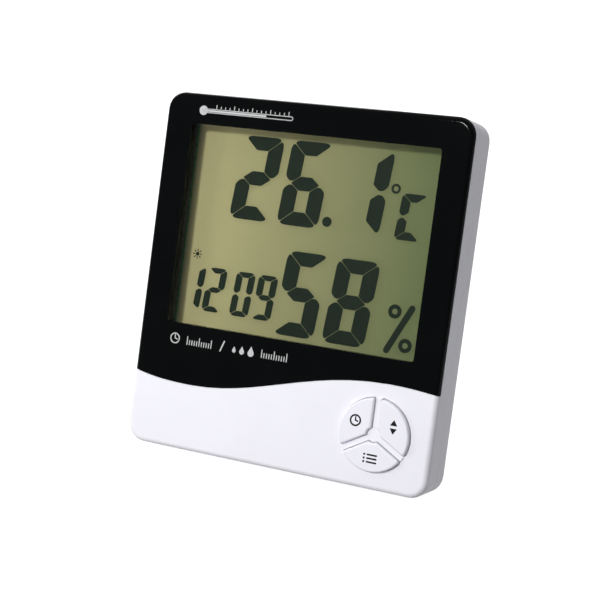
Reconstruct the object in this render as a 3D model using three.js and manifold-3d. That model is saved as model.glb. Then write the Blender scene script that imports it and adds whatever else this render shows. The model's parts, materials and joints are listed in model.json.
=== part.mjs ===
// A desk thermometer, hygrometer and clock: a white case with a black front bezel, a large
// liquid crystal display, three sector keys, a battery bay and a fold-out foot.
// Lengths are millimetres and angles are degrees. In the case's own frame X runs to the right of
// someone who faces the display, Y runs from the front face to the back, and Z runs up.
// The case stands leaning back on its rear bottom edge and on the tip of the opened foot.

import * as THREE from 'three';
import { mergeVertices } from 'three/addons/utils/BufferGeometryUtils.js';
import Module from 'manifold-3d';

const wasm = await Module();
wasm.setup();

// Case shell. Its depth follows from the battery, further down.
const CASE_WIDTH = 98;
const CASE_HEIGHT = 108;
const CASE_CORNER = 5.4;
const FRONT_ROUND = 1.6;
const BACK_ROUND = 1.2;
const SIDE_WALL = 1.8;
const FRONT_WALL = 1.8;
const BACK_WALL = 1.6;
const SEAM_BEHIND_BOARD = 0.6;
const SEAM_GAP = 0.15;
const LEAN = 17.8;

// Clearances: behind a part that rests on its seat, between parts that are stuck or soldered
// together, and beside a part that only lies near another
const SEAT_GAP = 0.3;
const MOUNT_GAP = 0.1;
const SIDE_GAP = 0.5;

// Curved line between the black bezel and the white lower front. From the left side it falls to
// a trough, rises to a crest over the keys and falls a little; a pull is a curve handle's length.
const TROUGH_Z = 20;
const TROUGH_FROM_LEFT = 20;
const TROUGH_PULL_LEFT = 8;
const TROUGH_PULL_RIGHT = 22;
const CREST_OVER_KEYS = 4;
const CREST_FROM_RIGHT = 15;
const CREST_PULL_LEFT = 25;
const CREST_PULL_RIGHT = 6;
const LEFT_END_RISE = 2.1;
const LEFT_END_PULL = 6;
const LEFT_END_DIP = 1.6;
const RIGHT_END_FALL = 1;
const RIGHT_END_PULL = 5;
const RIGHT_END_LIFT = 0.55;
const STEP_WALL = 1.6;

// Bezel, window and lens
const BEZEL_THICKNESS = 1.6;
const SEAT_WALL = 1.6;
const WINDOW_FROM_LEFT = 9.37;
const WINDOW_FROM_RIGHT = 8.83;
const WINDOW_FROM_TOP = 9.3;
const WINDOW_OVER_CREST = 7.3;
const WINDOW_CORNER = 1;
const LENS_THICKNESS = 1;
const LENS_LAP = 2.1;

// Display stack and the strip that connects it to the board
const GASKET_THICKNESS = 1.7;
const GASKET_INSET = 0.2;
const FILM_THICKNESS = 0.2;
const FILM_LAP = 1.2;
const GLASS_THICKNESS = 1.1;
const GLASS_LAP = 2.2;
const CONTACT_LEDGE = 2.4;
const WELL_WALL = 1.3;
const STRIP_END_INSET = 2;

// Circuit board and what it carries
const BOARD_BEHIND_DISPLAY = 1.1;
const BOARD_THICKNESS = 1.2;
const BOARD_OVER_BAY = 5.5;
const CHIP_FROM_TOP = 24;
const CHIP_RADIUS = 6;
const CHIP_HEIGHT = 1.4;
const CRYSTAL_FROM_LEFT = 15;
const CRYSTAL_OVER_EDGE = 24.5;
const CRYSTAL_RADIUS = 1.5;
const CRYSTAL_LENGTH = 8;
const CAPACITOR_FROM_LEFT = 9.5;
const CAPACITOR_OVER_EDGE = 16.5;
const CAPACITOR_RADIUS = 2.5;
const CAPACITOR_HEIGHT = 3.8;
const RESISTORS = 3;
const RESISTORS_FROM_LEFT = 18;
const RESISTORS_OVER_EDGE = 10.5;
const RESISTOR_PITCH = 5;
const RESISTOR_LENGTH = 3.2;
const RESISTOR_WIDTH = 1.6;
const RESISTOR_HEIGHT = 0.8;
const SENSOR_FROM_RIGHT = 17;
const SENSOR_FROM_TOP = 26;
const SENSOR_WIDTH = 8;
const SENSOR_LENGTH = 12;
const SENSOR_HEIGHT = 2.2;
const SENSOR_SLOT = 0.8;
const BEAD_BESIDE_SENSOR = 4;
const BEAD_RADIUS = 1.3;
const BEAD_STANDOFF = 1.6;
const LEAD_RADIUS = 0.3;
const LEAD_SPREAD = 0.65;

// Sector keys and the rubber pad behind them
const KEY_CIRCLE = 10.9;
const KEYS_FROM_RIGHT = 6.4;
const KEYS_FROM_BOTTOM = 5.1;
const FIRST_KEY_TURN = 30;
const KEY_GAP = 0.25;
const KEY_WEB = 1.5;
const KEY_HUB = 2;
const KEY_PROUD = 1.6;
const WEB_PROUD = 0.5;
const KEY_EDGE_ROUND = 0.6;
const KEY_CORNER = 0.9;
const KEY_FLANGE_LAP = 0.6;
const KEY_FLANGE_THICKNESS = 1;
const KEY_SHELL = 1.2;
const KEY_TRAVEL = 0.6;
const STEM_FROM_HUB = 6.3;
const STEM_RADIUS = 1.7;
const STEM_REACH = 1.5;
const PAD_MARGIN = 0.6;
const PAD_THICKNESS = 1.1;
const DOME_RADIUS = 3.6;
const DOME_TOP_RADIUS = 2.6;
const DOME_ROOF = 0.9;
const DOME_SKIN = 0.4;
const PILL_RADIUS = 1.5;
const PILL_THICKNESS = 0.5;
const PILL_FREE = 0.2;

// Screws and their posts. A screw's reach runs from under its head to its tip.
const CASE_POST_RADIUS = 2.6;
const SLEEVE_WALL = 1;
const SLEEVE_FLOOR = 2.2;
const CASE_SCREW_HEAD = 2.1;
const CASE_SCREW_HEAD_HEIGHT = 1.5;
const CASE_SCREW_SHANK = 1.1;
const CASE_SCREW_REACH = 7.2;
const BOARD_POST_RADIUS = 1.8;
const BOARD_POST_INSET = 2.5;
const BOARD_POST_FROM_SIDE = 19;
const BOARD_POST_SHIFT = 5;
const BOARD_SCREW_HEAD = 1.8;
const BOARD_SCREW_HEAD_HEIGHT = 1.2;
const BOARD_SCREW_SHANK = 0.85;
const BOARD_SCREW_REACH = 4.9;
const SHANK_CLEARANCE = 0.2;
const HEAD_CLEARANCE = 0.25;
const PILOT_EXTRA_DEPTH = 0.4;
const CROSS_SLOT = 0.5;
const CROSS_DEPTH = 0.7;

// Battery, its bay and its contacts
const BATTERY_RADIUS = 5.25;
const BATTERY_LENGTH = 44.5;
const BATTERY_NUB_RADIUS = 1.9;
const BATTERY_NUB_LENGTH = 1;
const BAY_FROM_LEFT = 8.2;
const BAY_FROM_BOTTOM = 5.25;
const BAY_CLEARANCE = 0.5;
const BAY_SHELL = 0.9;
const BAY_RIM = 1.6;
const BAY_RIM_DEPTH = 1.6;
const BAY_END_WALL = 1.2;
const CONTACT_THICKNESS = 0.3;
const CONTACT_HALF_WIDTH = 3.6;
const CONTACT_TAB_HALF_WIDTH = 1;
const CONTACT_TAB_REACH = 1.8;
const SPRING_LENGTH = 3.3;
const SPRING_WIRE_RADIUS = 0.3;
const SPRING_TURNS = 3;
const SPRING_WIDE_RADIUS = 3.6;
const SPRING_NARROW_RADIUS = 1.9;

// Battery door
const DOOR_THICKNESS = 1.5;
const DOOR_GAP = 0.25;
const DOOR_LEDGE = 0.9;
const HOOK_WIDTH = 6;
const HOOK_FROM_MIDDLE = 16;
const HOOK_REACH = 2.35;
const HOOK_THICKNESS = 1.05;
const HOOK_GAP = 0.35;
const LATCH_WIDTH = 12;
const LATCH_LENGTH = 6;
const LATCH_SLIT = 0.8;
const GRIP_GROOVES = 3;
const GRIP_GROOVE = 0.8;
const GRIP_GROOVE_DEPTH = 0.4;
const GRIP_GROOVE_INSET = 2;

// Fold-out foot and its recess
const FOOT_OVER_BAY = 6.55;
const FOOT_SUNK = 0.4;
const FOOT_LENGTH = 38;
const FOOT_THICKNESS = 2.6;
const FOOT_HINGE_HALF_WIDTH = 15.7;
const FOOT_TIP_HALF_WIDTH = 11.5;
const FOOT_SKIN = 1.2;
const FOOT_RIM = 2.4;
const FOOT_PIN_RADIUS = 1.1;
const FOOT_PIN_LENGTH = 1.5;
const FOOT_STOP_GAP = 0.15;
const FOOT_SOCKET_CLEARANCE = 0.1;
const RECESS_WALL = 2.4;
const RECESS_FLOOR = 1.4;
const SCOOP_RADIUS = 6;

// Rear button and reset hole, each with its switch on the board
const CONTROLS_FROM_RIGHT = 17;
const UNIT_FROM_TOP = 48;
const RESET_FROM_TOP = 59;
const SWITCH_WIDTH = 6;
const SWITCH_HEIGHT = 2.6;
const PLUNGER_RADIUS = 1.6;
const PLUNGER_SINK = 1.1;
const UNIT_TRAVEL = 0.3;
const UNIT_RADIUS = 2.5;
const UNIT_FLANGE_LAP = 0.9;
const UNIT_FLANGE_THICKNESS = 0.6;
const UNIT_SUNK = 0.1;
const RESET_HOLE_RADIUS = 1;

// Keyhole, vents, sounder, and the lips that line up the two halves of the case
const HANGER_FROM_TOP = 11;
const HANGER_HEAD_RADIUS = 3.75;
const HANGER_SLOT_RADIUS = 1.9;
const HANGER_SLOT_RISE = 5;
const VENTS = 6;
const VENT_PITCH = 3;
const VENT_WIDTH = 1.6;
const VENT_HEIGHT = 13;
const SOUNDER_FROM_LEFT = 18.5;
const SOUNDER_FROM_TOP = 24;
const SOUNDER_RADIUS = 10;
const SOUNDER_THICKNESS = 0.3;
const CERAMIC_RADIUS = 7;
const CERAMIC_THICKNESS = 0.25;
const SOUNDER_RING_WALL = 1.2;
const SOUNDER_RING_DEPTH = 1.4;
const SOUND_HOLES = 4;
const SOUND_HOLE_RADIUS = 0.7;
const SOUND_HOLE_SPREAD = 3.2;
const LIP_THICKNESS = 0.8;
const LIP_REACH = 1.4;
const LIP_GAP = 0.25;
const LIP_ROOT = 2;
const LIP_FROM_BOTTOM = 40;
const LIP_FROM_TOP = 13;
const LIP_FROM_SIDE = 15;

// Wires
const WIRE_RADIUS = 0.45;
const WIRE_RISE = 1.6;
const WIRE_SHIFT = 6;
const WIRE_LANDING = 3;
const THIN_WIRE_RADIUS = 0.25;
const THIN_WIRE_SPREAD = 3.5;
const THIN_WIRE_LOOP = 1.6;

// Facets
const CORNER_STEPS = 6;
const EDGE_STEPS = 4;
const SLOT_END_STEPS = 2;
const DIVIDE_STEPS = 12;
const LARGE_SIDES = 40;
const HOLE_SIDES = 20;
const SMALL_SIDES = 12;
const TINY_SIDES = 8;
const SPRING_STEPS = 8;
const SPRING_SIDES = 5;
const WIRE_SIDES = 6;
const WIRE_STEPS = 10;

// How far a cutter runs past the face that it cuts, and how deep a rib is rooted in its wall
const OVER = 1;
const ROOT = 0.5;
const MESH_TOLERANCE = 1e-5;

// Depths behind the front face. The case is as deep as the cell needs in front of its door.
const BAY_RADIUS = BATTERY_RADIUS + BAY_CLEARANCE;
const BATTERY_DEPTH = FRONT_WALL + SEAT_GAP + BAY_SHELL + BAY_RADIUS;
const DOOR_FRONT = BATTERY_DEPTH + BAY_RADIUS;
const CASE_DEPTH = DOOR_FRONT + DOOR_THICKNESS;
const BACK_INNER = CASE_DEPTH - BACK_WALL;
const SEAT_FRONT = BEZEL_THICKNESS + MOUNT_GAP;
const SEAT_BACK = SEAT_FRONT + SEAT_WALL;
const GASKET_FRONT = SEAT_FRONT + LENS_THICKNESS + MOUNT_GAP;
const FILM_FRONT = GASKET_FRONT + GASKET_THICKNESS + MOUNT_GAP;
const FRONT_GLASS_FRONT = FILM_FRONT + FILM_THICKNESS + MOUNT_GAP;
const REAR_GLASS_FRONT = FRONT_GLASS_FRONT + GLASS_THICKNESS + MOUNT_GAP;
const REFLECTOR_FRONT = REAR_GLASS_FRONT + GLASS_THICKNESS + MOUNT_GAP;
const BOARD_FRONT = REFLECTOR_FRONT + FILM_THICKNESS + BOARD_BEHIND_DISPLAY;
const BOARD_BACK = BOARD_FRONT + BOARD_THICKNESS;
const PART_FRONT = BOARD_BACK + MOUNT_GAP;
const POST_BACK = BOARD_FRONT - SEAT_GAP;
const SEAM_DEPTH = BOARD_FRONT + SEAM_BEHIND_BOARD;
const SLEEVE_FRONT = SEAM_DEPTH + SEAM_GAP;
const SLEEVE_BACK = SLEEVE_FRONT + SLEEVE_FLOOR;
const FLANGE_FRONT = FRONT_WALL + SEAT_GAP;
const FLANGE_BACK = FLANGE_FRONT + KEY_FLANGE_THICKNESS;
const KEY_HOLLOW_FRONT = KEY_SHELL - KEY_PROUD;
const STEM_BACK = FLANGE_BACK + STEM_REACH;
const DOME_FRONT = STEM_BACK + SEAT_GAP;
const PAD_BACK = BOARD_FRONT - SEAT_GAP;
const PAD_FRONT = PAD_BACK - PAD_THICKNESS;
const PILL_FRONT = BOARD_FRONT - PILL_FREE - KEY_TRAVEL - PILL_THICKNESS;
const SWITCH_BACK = PART_FRONT + SWITCH_HEIGHT;
const PLUNGER_FRONT = SWITCH_BACK - PLUNGER_SINK;
const UNIT_FLANGE_BACK = BACK_INNER - SEAT_GAP;
const UNIT_FLANGE_FRONT = UNIT_FLANGE_BACK - UNIT_FLANGE_THICKNESS;
const SOUNDER_FRONT = BACK_INNER - SEAT_GAP - SOUNDER_THICKNESS;
const CERAMIC_FRONT = SOUNDER_FRONT - MOUNT_GAP - CERAMIC_THICKNESS;
const DOOR_PIVOT_DEPTH = CASE_DEPTH - DOOR_THICKNESS / 2;
const FOOT_PIVOT_DEPTH = CASE_DEPTH - FOOT_SUNK - FOOT_THICKNESS / 2;
const RECESS_DEPTH = FOOT_PIVOT_DEPTH - FOOT_THICKNESS / 2 - SEAT_GAP;
const WIRE_DEPTH = (BOARD_BACK + RECESS_DEPTH - RECESS_FLOOR) / 2;

// Boxes in the plane of the front face, each with its left, right, bottom and top
const HALF_WIDTH = CASE_WIDTH / 2;
const OUTLINE = { left: -HALF_WIDTH, right: HALF_WIDTH, bottom: 0, top: CASE_HEIGHT };
const INNER = grow(OUTLINE, -SIDE_WALL);
const CREST_Z = KEYS_FROM_BOTTOM + 2 * KEY_CIRCLE + CREST_OVER_KEYS;
const WINDOW = {
  left: OUTLINE.left + WINDOW_FROM_LEFT,
  right: OUTLINE.right - WINDOW_FROM_RIGHT,
  bottom: CREST_Z + WINDOW_OVER_CREST,
  top: OUTLINE.top - WINDOW_FROM_TOP,
};
const REAR_GLASS = grow(WINDOW, GLASS_LAP);
const FRONT_GLASS = { ...REAR_GLASS, bottom: REAR_GLASS.bottom - CONTACT_LEDGE };
const WELL = grow(FRONT_GLASS, SEAT_GAP);
const BATTERY_Z = BAY_FROM_BOTTOM + BAY_RIM + BAY_RADIUS;
const NEGATIVE_X = OUTLINE.left + BAY_FROM_LEFT + BAY_END_WALL + MOUNT_GAP;
const SPRING_X = NEGATIVE_X + CONTACT_THICKNESS + MOUNT_GAP;
const BATTERY_X = SPRING_X + SPRING_LENGTH + MOUNT_GAP;
const POSITIVE_X = BATTERY_X + BATTERY_LENGTH + MOUNT_GAP;
const BAY = {
  left: NEGATIVE_X - MOUNT_GAP,
  right: POSITIVE_X + CONTACT_THICKNESS + MOUNT_GAP,
  bottom: BATTERY_Z - BAY_RADIUS,
  top: BATTERY_Z + BAY_RADIUS,
};
const BAY_OUTER = {
  left: BAY.left - BAY_END_WALL,
  right: BAY.right + BAY_END_WALL,
  bottom: BAY.bottom - BAY_RIM,
  top: BAY.top + BAY_RIM,
};
const DOOR_OPENING = grow(BAY, DOOR_LEDGE);
const DOOR = grow(DOOR_OPENING, -DOOR_GAP);
const DOOR_MIDDLE = (DOOR.left + DOOR.right) / 2;
const DOOR_PIVOT_Z = DOOR.bottom + DOOR_THICKNESS / 2;
const LIP_INSET = LIP_GAP + LIP_THICKNESS;
const BESIDE_LIPS = grow(INNER, -LIP_INSET - SIDE_GAP);
const BOARD = { ...BESIDE_LIPS, bottom: BAY_OUTER.top + BOARD_OVER_BAY, top: INNER.top - SIDE_GAP };
const BOARD_LEG = { ...BESIDE_LIPS, left: BAY_OUTER.right + SIDE_GAP, top: BOARD.bottom + ROOT };

// Foot: the height of its pivot over the table and the angle at which its tip gets there
const lean = THREE.MathUtils.degToRad(LEAN);
const TIP_RADIUS = FOOT_THICKNESS / 2;
const FOOT_PIVOT_Z = BAY_OUTER.top + FOOT_OVER_BAY;
const heightInLean = (depth, z) => z * Math.cos(lean) - depth * Math.sin(lean);
const tableHeight = heightInLean(CASE_DEPTH - BACK_ROUND, BACK_ROUND) - BACK_ROUND;
const pivotHeight = heightInLean(FOOT_PIVOT_DEPTH, FOOT_PIVOT_Z) - tableHeight;
const footDrop = Math.asin((pivotHeight - TIP_RADIUS) / (FOOT_LENGTH - TIP_RADIUS));
const footOpen = Math.PI / 2 - lean + footDrop;

// The recess ends just past the folded tip, and its lower lip is the stop of the opened foot
const lipReach = (CASE_DEPTH - FOOT_PIVOT_DEPTH) * -Math.cos(footOpen);
const RECESS = {
  left: -FOOT_HINGE_HALF_WIDTH - SEAT_GAP,
  right: FOOT_HINGE_HALF_WIDTH + SEAT_GAP,
  bottom: FOOT_PIVOT_Z - (TIP_RADIUS + FOOT_STOP_GAP + lipReach) / Math.sin(footOpen),
  top: FOOT_PIVOT_Z + FOOT_LENGTH + SEAT_GAP,
};

// Places in the plane of the front face
const KEY_CENTRE = place(OUTLINE.right - KEYS_FROM_RIGHT - KEY_CIRCLE, KEYS_FROM_BOTTOM + KEY_CIRCLE);
const CHIP = place(0, OUTLINE.top - CHIP_FROM_TOP);
const CRYSTAL = place(OUTLINE.left + CRYSTAL_FROM_LEFT, BOARD.bottom + CRYSTAL_OVER_EDGE);
const CAPACITOR = place(OUTLINE.left + CAPACITOR_FROM_LEFT, BOARD.bottom + CAPACITOR_OVER_EDGE);
const SENSOR = place(OUTLINE.right - SENSOR_FROM_RIGHT, OUTLINE.top - SENSOR_FROM_TOP);
const SOUNDER = place(OUTLINE.left + SOUNDER_FROM_LEFT, OUTLINE.top - SOUNDER_FROM_TOP);
const UNIT = place(OUTLINE.right - CONTROLS_FROM_RIGHT, OUTLINE.top - UNIT_FROM_TOP);
const RESET = place(OUTLINE.right - CONTROLS_FROM_RIGHT, OUTLINE.top - RESET_FROM_TOP);
const HANGER = place(0, OUTLINE.top - HANGER_FROM_TOP);
const SCOOP = place(0, RECESS.top);
const CASE_POSTS = boxPoints(grow(INNER, -CASE_POST_RADIUS));
const BOARD_POSTS = [
  place(OUTLINE.left + BOARD_POST_FROM_SIDE, INNER.top - BOARD_POST_INSET),
  place(OUTLINE.right - BOARD_POST_FROM_SIDE, INNER.top - BOARD_POST_INSET),
  place(BOARD.left + BOARD_POST_INSET + BOARD_POST_SHIFT, BOARD.bottom + BOARD_POST_INSET),
  place(BOARD.right - BOARD_POST_INSET, BOARD.bottom + BOARD_POST_SHIFT),
  place(BOARD_LEG.left + BOARD_POST_INSET, BOARD_LEG.bottom + BOARD_POST_INSET),
];
const KEYS = ['right', 'left', 'bottom'].map((side, i, sides) => {
  const turn = THREE.MathUtils.degToRad(FIRST_KEY_TURN) + (i * 2 * Math.PI) / sides.length;
  const stem = place(Math.cos(turn), Math.sin(turn)).multiplyScalar(STEM_FROM_HUB).add(KEY_CENTRE);
  return { side, turn, stem };
});

// The two kinds of screw, with the radii of head and shank
const CASE_SCREW = {
  head: CASE_SCREW_HEAD,
  height: CASE_SCREW_HEAD_HEIGHT,
  shank: CASE_SCREW_SHANK,
  reach: CASE_SCREW_REACH,
};
const BOARD_SCREW = {
  head: BOARD_SCREW_HEAD,
  height: BOARD_SCREW_HEAD_HEIGHT,
  shank: BOARD_SCREW_SHANK,
  reach: BOARD_SCREW_REACH,
};
const SLEEVE_RADIUS = CASE_SCREW.head + HEAD_CLEARANCE + SLEEVE_WALL;

function place(x, z) {
  return new THREE.Vector2(x, z);
}

function grow(box, by) {
  return { left: box.left - by, right: box.right + by, bottom: box.bottom - by, top: box.top + by };
}

function around(centre, width, height) {
  const point = { left: centre.x, right: centre.x, bottom: centre.y, top: centre.y };
  return { ...grow(point, height / 2), left: centre.x - width / 2, right: centre.x + width / 2 };
}

// Outlines, counterclockwise as seen from the front
function boxPoints(box) {
  return [
    place(box.left, box.bottom),
    place(box.right, box.bottom),
    place(box.right, box.top),
    place(box.left, box.top),
  ];
}

function arcPoints(centre, radius, start, end, steps) {
  const points = [];
  for (let i = 0; i <= steps; i++) {
    const angle = start + ((end - start) * i) / steps;
    points.push(place(centre.x + radius * Math.cos(angle), centre.y + radius * Math.sin(angle)));
  }
  return points;
}

function circlePoints(centre, radius, sides) {
  return arcPoints(centre, radius, 0, 2 * Math.PI, sides).slice(1);
}

function roundedPoints(box, radius, steps = CORNER_STEPS) {
  const centres = boxPoints(grow(box, -radius));
  return centres.flatMap((centre, quarter) => {
    const start = Math.PI + (quarter * Math.PI) / 2;
    return arcPoints(centre, radius, start, start + Math.PI / 2, steps);
  });
}

// Turning meshes into solids for cutting and joining, and back
function toSolid(geometry) {
  const bare = geometry.clone();
  for (const name of Object.keys(bare.attributes)) {
    if (name !== 'position') bare.deleteAttribute(name);
  }
  const merged = mergeVertices(bare, MESH_TOLERANCE);
  const index = merged.index.array;
  const kept = [];
  for (let i = 0; i < index.length; i += 3) {
    const [a, b, c] = [index[i], index[i + 1], index[i + 2]];
    if (a !== b && b !== c && c !== a) kept.push(a, b, c);
  }
  const vertProperties = new Float32Array(merged.attributes.position.array);
  const triVerts = new Uint32Array(kept);
  return new wasm.Manifold(new wasm.Mesh({ numProp: 3, vertProperties, triVerts }));
}

function toGeometry(solid) {
  const mesh = solid.getMesh();
  const geometry = new THREE.BufferGeometry();
  geometry.setAttribute('position', new THREE.BufferAttribute(new Float32Array(mesh.vertProperties), 3));
  geometry.setIndex(new THREE.BufferAttribute(new Uint32Array(mesh.triVerts), 1));
  geometry.computeVertexNormals();
  return geometry;
}

function joined(solids) {
  return solids.reduce((whole, next) => whole.add(next));
}

// Basic solids: an outline or a box that runs from one depth to another, round rods along the
// depth and across the case, and a tube along a curve
function plate(points, front, back) {
  const options = { depth: back - front, bevelEnabled: false };
  const geometry = new THREE.ExtrudeGeometry(new THREE.Shape(points), options);
  return toSolid(geometry.rotateX(Math.PI / 2).translate(0, back, 0));
}

function block(box, front, back) {
  return plate(boxPoints(box), front, back);
}

function taperedRod(centre, frontRadius, backRadius, front, back, sides = SMALL_SIDES) {
  const geometry = new THREE.CylinderGeometry(backRadius, frontRadius, back - front, sides);
  return toSolid(geometry.translate(centre.x, (front + back) / 2, centre.y));
}

function rod(centre, radius, front, back, sides) {
  return taperedRod(centre, radius, radius, front, back, sides);
}

function crossRod(left, right, depth, z, radius, sides = HOLE_SIDES) {
  const geometry = new THREE.CylinderGeometry(radius, radius, right - left, sides);
  return toSolid(geometry.rotateZ(-Math.PI / 2).translate((left + right) / 2, depth, z));
}

function tube(curve, radius, sides, steps) {
  const section = new THREE.Shape(circlePoints(place(0, 0), radius, sides));
  const options = { steps, extrudePath: curve, bevelEnabled: false };
  return toSolid(new THREE.ExtrudeGeometry(section, options));
}

// Closed body through rings of equally many points that lie one behind the other
function loft(rings) {
  const positions = [];
  const index = [];
  const count = rings[0].points.length;
  const last = (rings.length - 1) * count;
  for (const ring of rings) {
    for (const point of ring.points) positions.push(point.x, ring.depth, point.y);
  }
  for (let start = 0; start < last; start += count) {
    for (let i = 0; i < count; i++) {
      const a = start + i;
      const b = start + ((i + 1) % count);
      index.push(a, a + count, b, b, a + count, b + count);
    }
  }
  for (let i = 1; i < count - 1; i++) {
    index.push(0, i, i + 1, last, last + i + 1, last + i);
  }
  const geometry = new THREE.BufferGeometry();
  geometry.setAttribute('position', new THREE.Float32BufferAttribute(positions, 3));
  geometry.setIndex(index);
  return toSolid(geometry);
}

// Outer form of the whole case, with rounded corners and rounded front and back edges
function edgeRing(round, step) {
  const turn = (step / EDGE_STEPS) * (Math.PI / 2);
  const inset = round * (1 - Math.sin(turn));
  const points = roundedPoints(grow(OUTLINE, -inset), CASE_CORNER - inset);
  return { points, depth: round * (1 - Math.cos(turn)) };
}

function envelope() {
  const front = [];
  const back = [];
  for (let i = 0; i <= EDGE_STEPS; i++) {
    const ring = edgeRing(BACK_ROUND, i);
    front.push(edgeRing(FRONT_ROUND, i));
    back.unshift({ ...ring, depth: CASE_DEPTH - ring.depth });
  }
  return loft([...front, ...back]);
}

function innerSpace(front, back) {
  return plate(roundedPoints(INNER, CASE_CORNER - SIDE_WALL), front, back);
}

function depthSlice(front, back) {
  return block(grow(OUTLINE, OVER), front, back);
}

// Dividing line: its left end, trough, crest and right end, with the handles between them
function divideLine() {
  const left = place(OUTLINE.left, TROUGH_Z + LEFT_END_RISE);
  const trough = place(OUTLINE.left + TROUGH_FROM_LEFT, TROUGH_Z);
  const crest = place(OUTLINE.right - CREST_FROM_RIGHT, CREST_Z);
  const right = place(OUTLINE.right, CREST_Z - RIGHT_END_FALL);
  const stretch = (start, leave, arrive, end) => {
    const curve = new THREE.CubicBezierCurve(start, start.clone().add(leave), end.clone().add(arrive), end);
    return curve.getPoints(DIVIDE_STEPS).slice(1);
  };
  return [
    left,
    ...stretch(left, place(LEFT_END_PULL, -LEFT_END_DIP), place(-TROUGH_PULL_LEFT, 0), trough),
    ...stretch(trough, place(TROUGH_PULL_RIGHT, 0), place(-CREST_PULL_LEFT, 0), crest),
    ...stretch(crest, place(CREST_PULL_RIGHT, 0), place(-RIGHT_END_PULL, RIGHT_END_LIFT), right),
  ];
}

function aboveDivide(raise) {
  const line = divideLine().map((point) => place(point.x, point.y + raise));
  const sheet = grow(OUTLINE, OVER);
  return [
    place(sheet.left, line[0].y),
    ...line,
    place(sheet.right, line[line.length - 1].y),
    place(sheet.right, sheet.top),
    place(sheet.left, sheet.top),
  ];
}

function divideHeight(x) {
  const line = divideLine();
  const next = line.findIndex((point) => point.x >= x);
  const [a, b] = [line[next - 1], line[next]];
  return a.y + ((x - a.x) / (b.x - a.x)) * (b.y - a.y);
}

// Bezel and lens
function frontBezel() {
  return envelope()
    .intersect(plate(aboveDivide(MOUNT_GAP), -OVER, BEZEL_THICKNESS))
    .subtract(plate(roundedPoints(WINDOW, WINDOW_CORNER), -OVER, BEZEL_THICKNESS + OVER));
}

function windowLens() {
  return block(grow(WINDOW, LENS_LAP), SEAT_FRONT, SEAT_FRONT + LENS_THICKNESS);
}

// Front case: a shell that is stepped back behind the bezel, a well for the display, a raised
// disc that the keys pass through, and the posts
function frontShell() {
  const behindBezel = plate(aboveDivide(-STEP_WALL), FRONT_WALL - OVER, SEAT_BACK + 2 * OVER);
  const lowerRoom = innerSpace(FRONT_WALL, SEAT_BACK + OVER).subtract(behindBezel);
  return envelope()
    .intersect(depthSlice(-OVER, SEAM_DEPTH))
    .subtract(innerSpace(SEAT_BACK, SEAM_DEPTH + OVER))
    .subtract(lowerRoom)
    .subtract(plate(aboveDivide(0), -OVER, SEAT_FRONT));
}

function displayWell() {
  const outer = roundedPoints(grow(WELL, WELL_WALL), WELL_WALL);
  return plate(outer, SEAT_BACK - ROOT, POST_BACK).intersect(innerSpace(0, CASE_DEPTH));
}

// A post is rooted in the wall in front of it, which lies deeper behind the bezel
function frontPost(centre, radius, back, sides) {
  const behindBezel = centre.y > divideHeight(centre.x) - STEP_WALL;
  return rod(centre, radius, (behindBezel ? SEAT_BACK : FRONT_WALL) - ROOT, back, sides);
}

function pilotHole(centre, size, seat) {
  return rod(centre, size.shank + SHANK_CLEARANCE, seat - size.reach - PILOT_EXTRA_DEPTH, seat);
}

function frontCase() {
  const added = [
    displayWell(),
    rod(KEY_CENTRE, KEY_CIRCLE - KEY_GAP, -WEB_PROUD, FRONT_WALL, LARGE_SIDES),
    ...CASE_POSTS.map((centre) => frontPost(centre, CASE_POST_RADIUS, SEAM_DEPTH, HOLE_SIDES)),
    ...BOARD_POSTS.map((centre) => frontPost(centre, BOARD_POST_RADIUS, POST_BACK, SMALL_SIDES)),
  ];
  const removed = [
    block(WELL, SEAT_FRONT - OVER, POST_BACK + OVER),
    ...CASE_POSTS.map((centre) => pilotHole(centre, CASE_SCREW, SLEEVE_BACK)),
    ...BOARD_POSTS.map((centre) => pilotHole(centre, BOARD_SCREW, PART_FRONT)),
    ...KEYS.map((key) => plate(keyOutline(key, KEY_GAP), -OVER, FRONT_WALL + OVER)),
  ];
  return frontShell().add(joined(added)).subtract(joined(removed));
}

// A key's outline is a sector between two arms of the raised disc, with its inner end cut round
// the hub. Half of it is drawn beside the X axis, mirrored and turned to its place.
function halfKeyOutline(by) {
  const hub = place(0, 0);
  const outer = KEY_CIRCLE - KEY_GAP + by;
  const inner = KEY_HUB + KEY_GAP - by;
  const side = KEY_WEB / 2 + KEY_GAP - by;
  const halfSector = Math.PI / KEYS.length;
  const outerTurn = halfSector - Math.asin(side / outer);
  const innerTurn = halfSector - Math.asin(side / inner);
  const rim = arcPoints(hub, outer, 0, outerTurn - KEY_CORNER / outer, CORNER_STEPS);
  const end = arcPoints(hub, inner, innerTurn, 0, SLOT_END_STEPS);
  const corner = place(outer * Math.cos(outerTurn), outer * Math.sin(outerTurn));
  const past = end[0].clone().sub(corner).setLength(KEY_CORNER).add(corner);
  const bend = new THREE.QuadraticBezierCurve(rim[rim.length - 1], corner, past);
  return [...rim, ...bend.getPoints(EDGE_STEPS).slice(1), ...end];
}

function keyOutline(key, by) {
  const half = halfKeyOutline(by);
  const otherHalf = half.slice(1, -1).reverse().map((point) => place(point.x, -point.y));
  const turned = [...half, ...otherHalf].map((point) => point.clone().rotateAround(place(0, 0), key.turn));
  return turned.map((point) => point.add(KEY_CENTRE));
}

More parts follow.
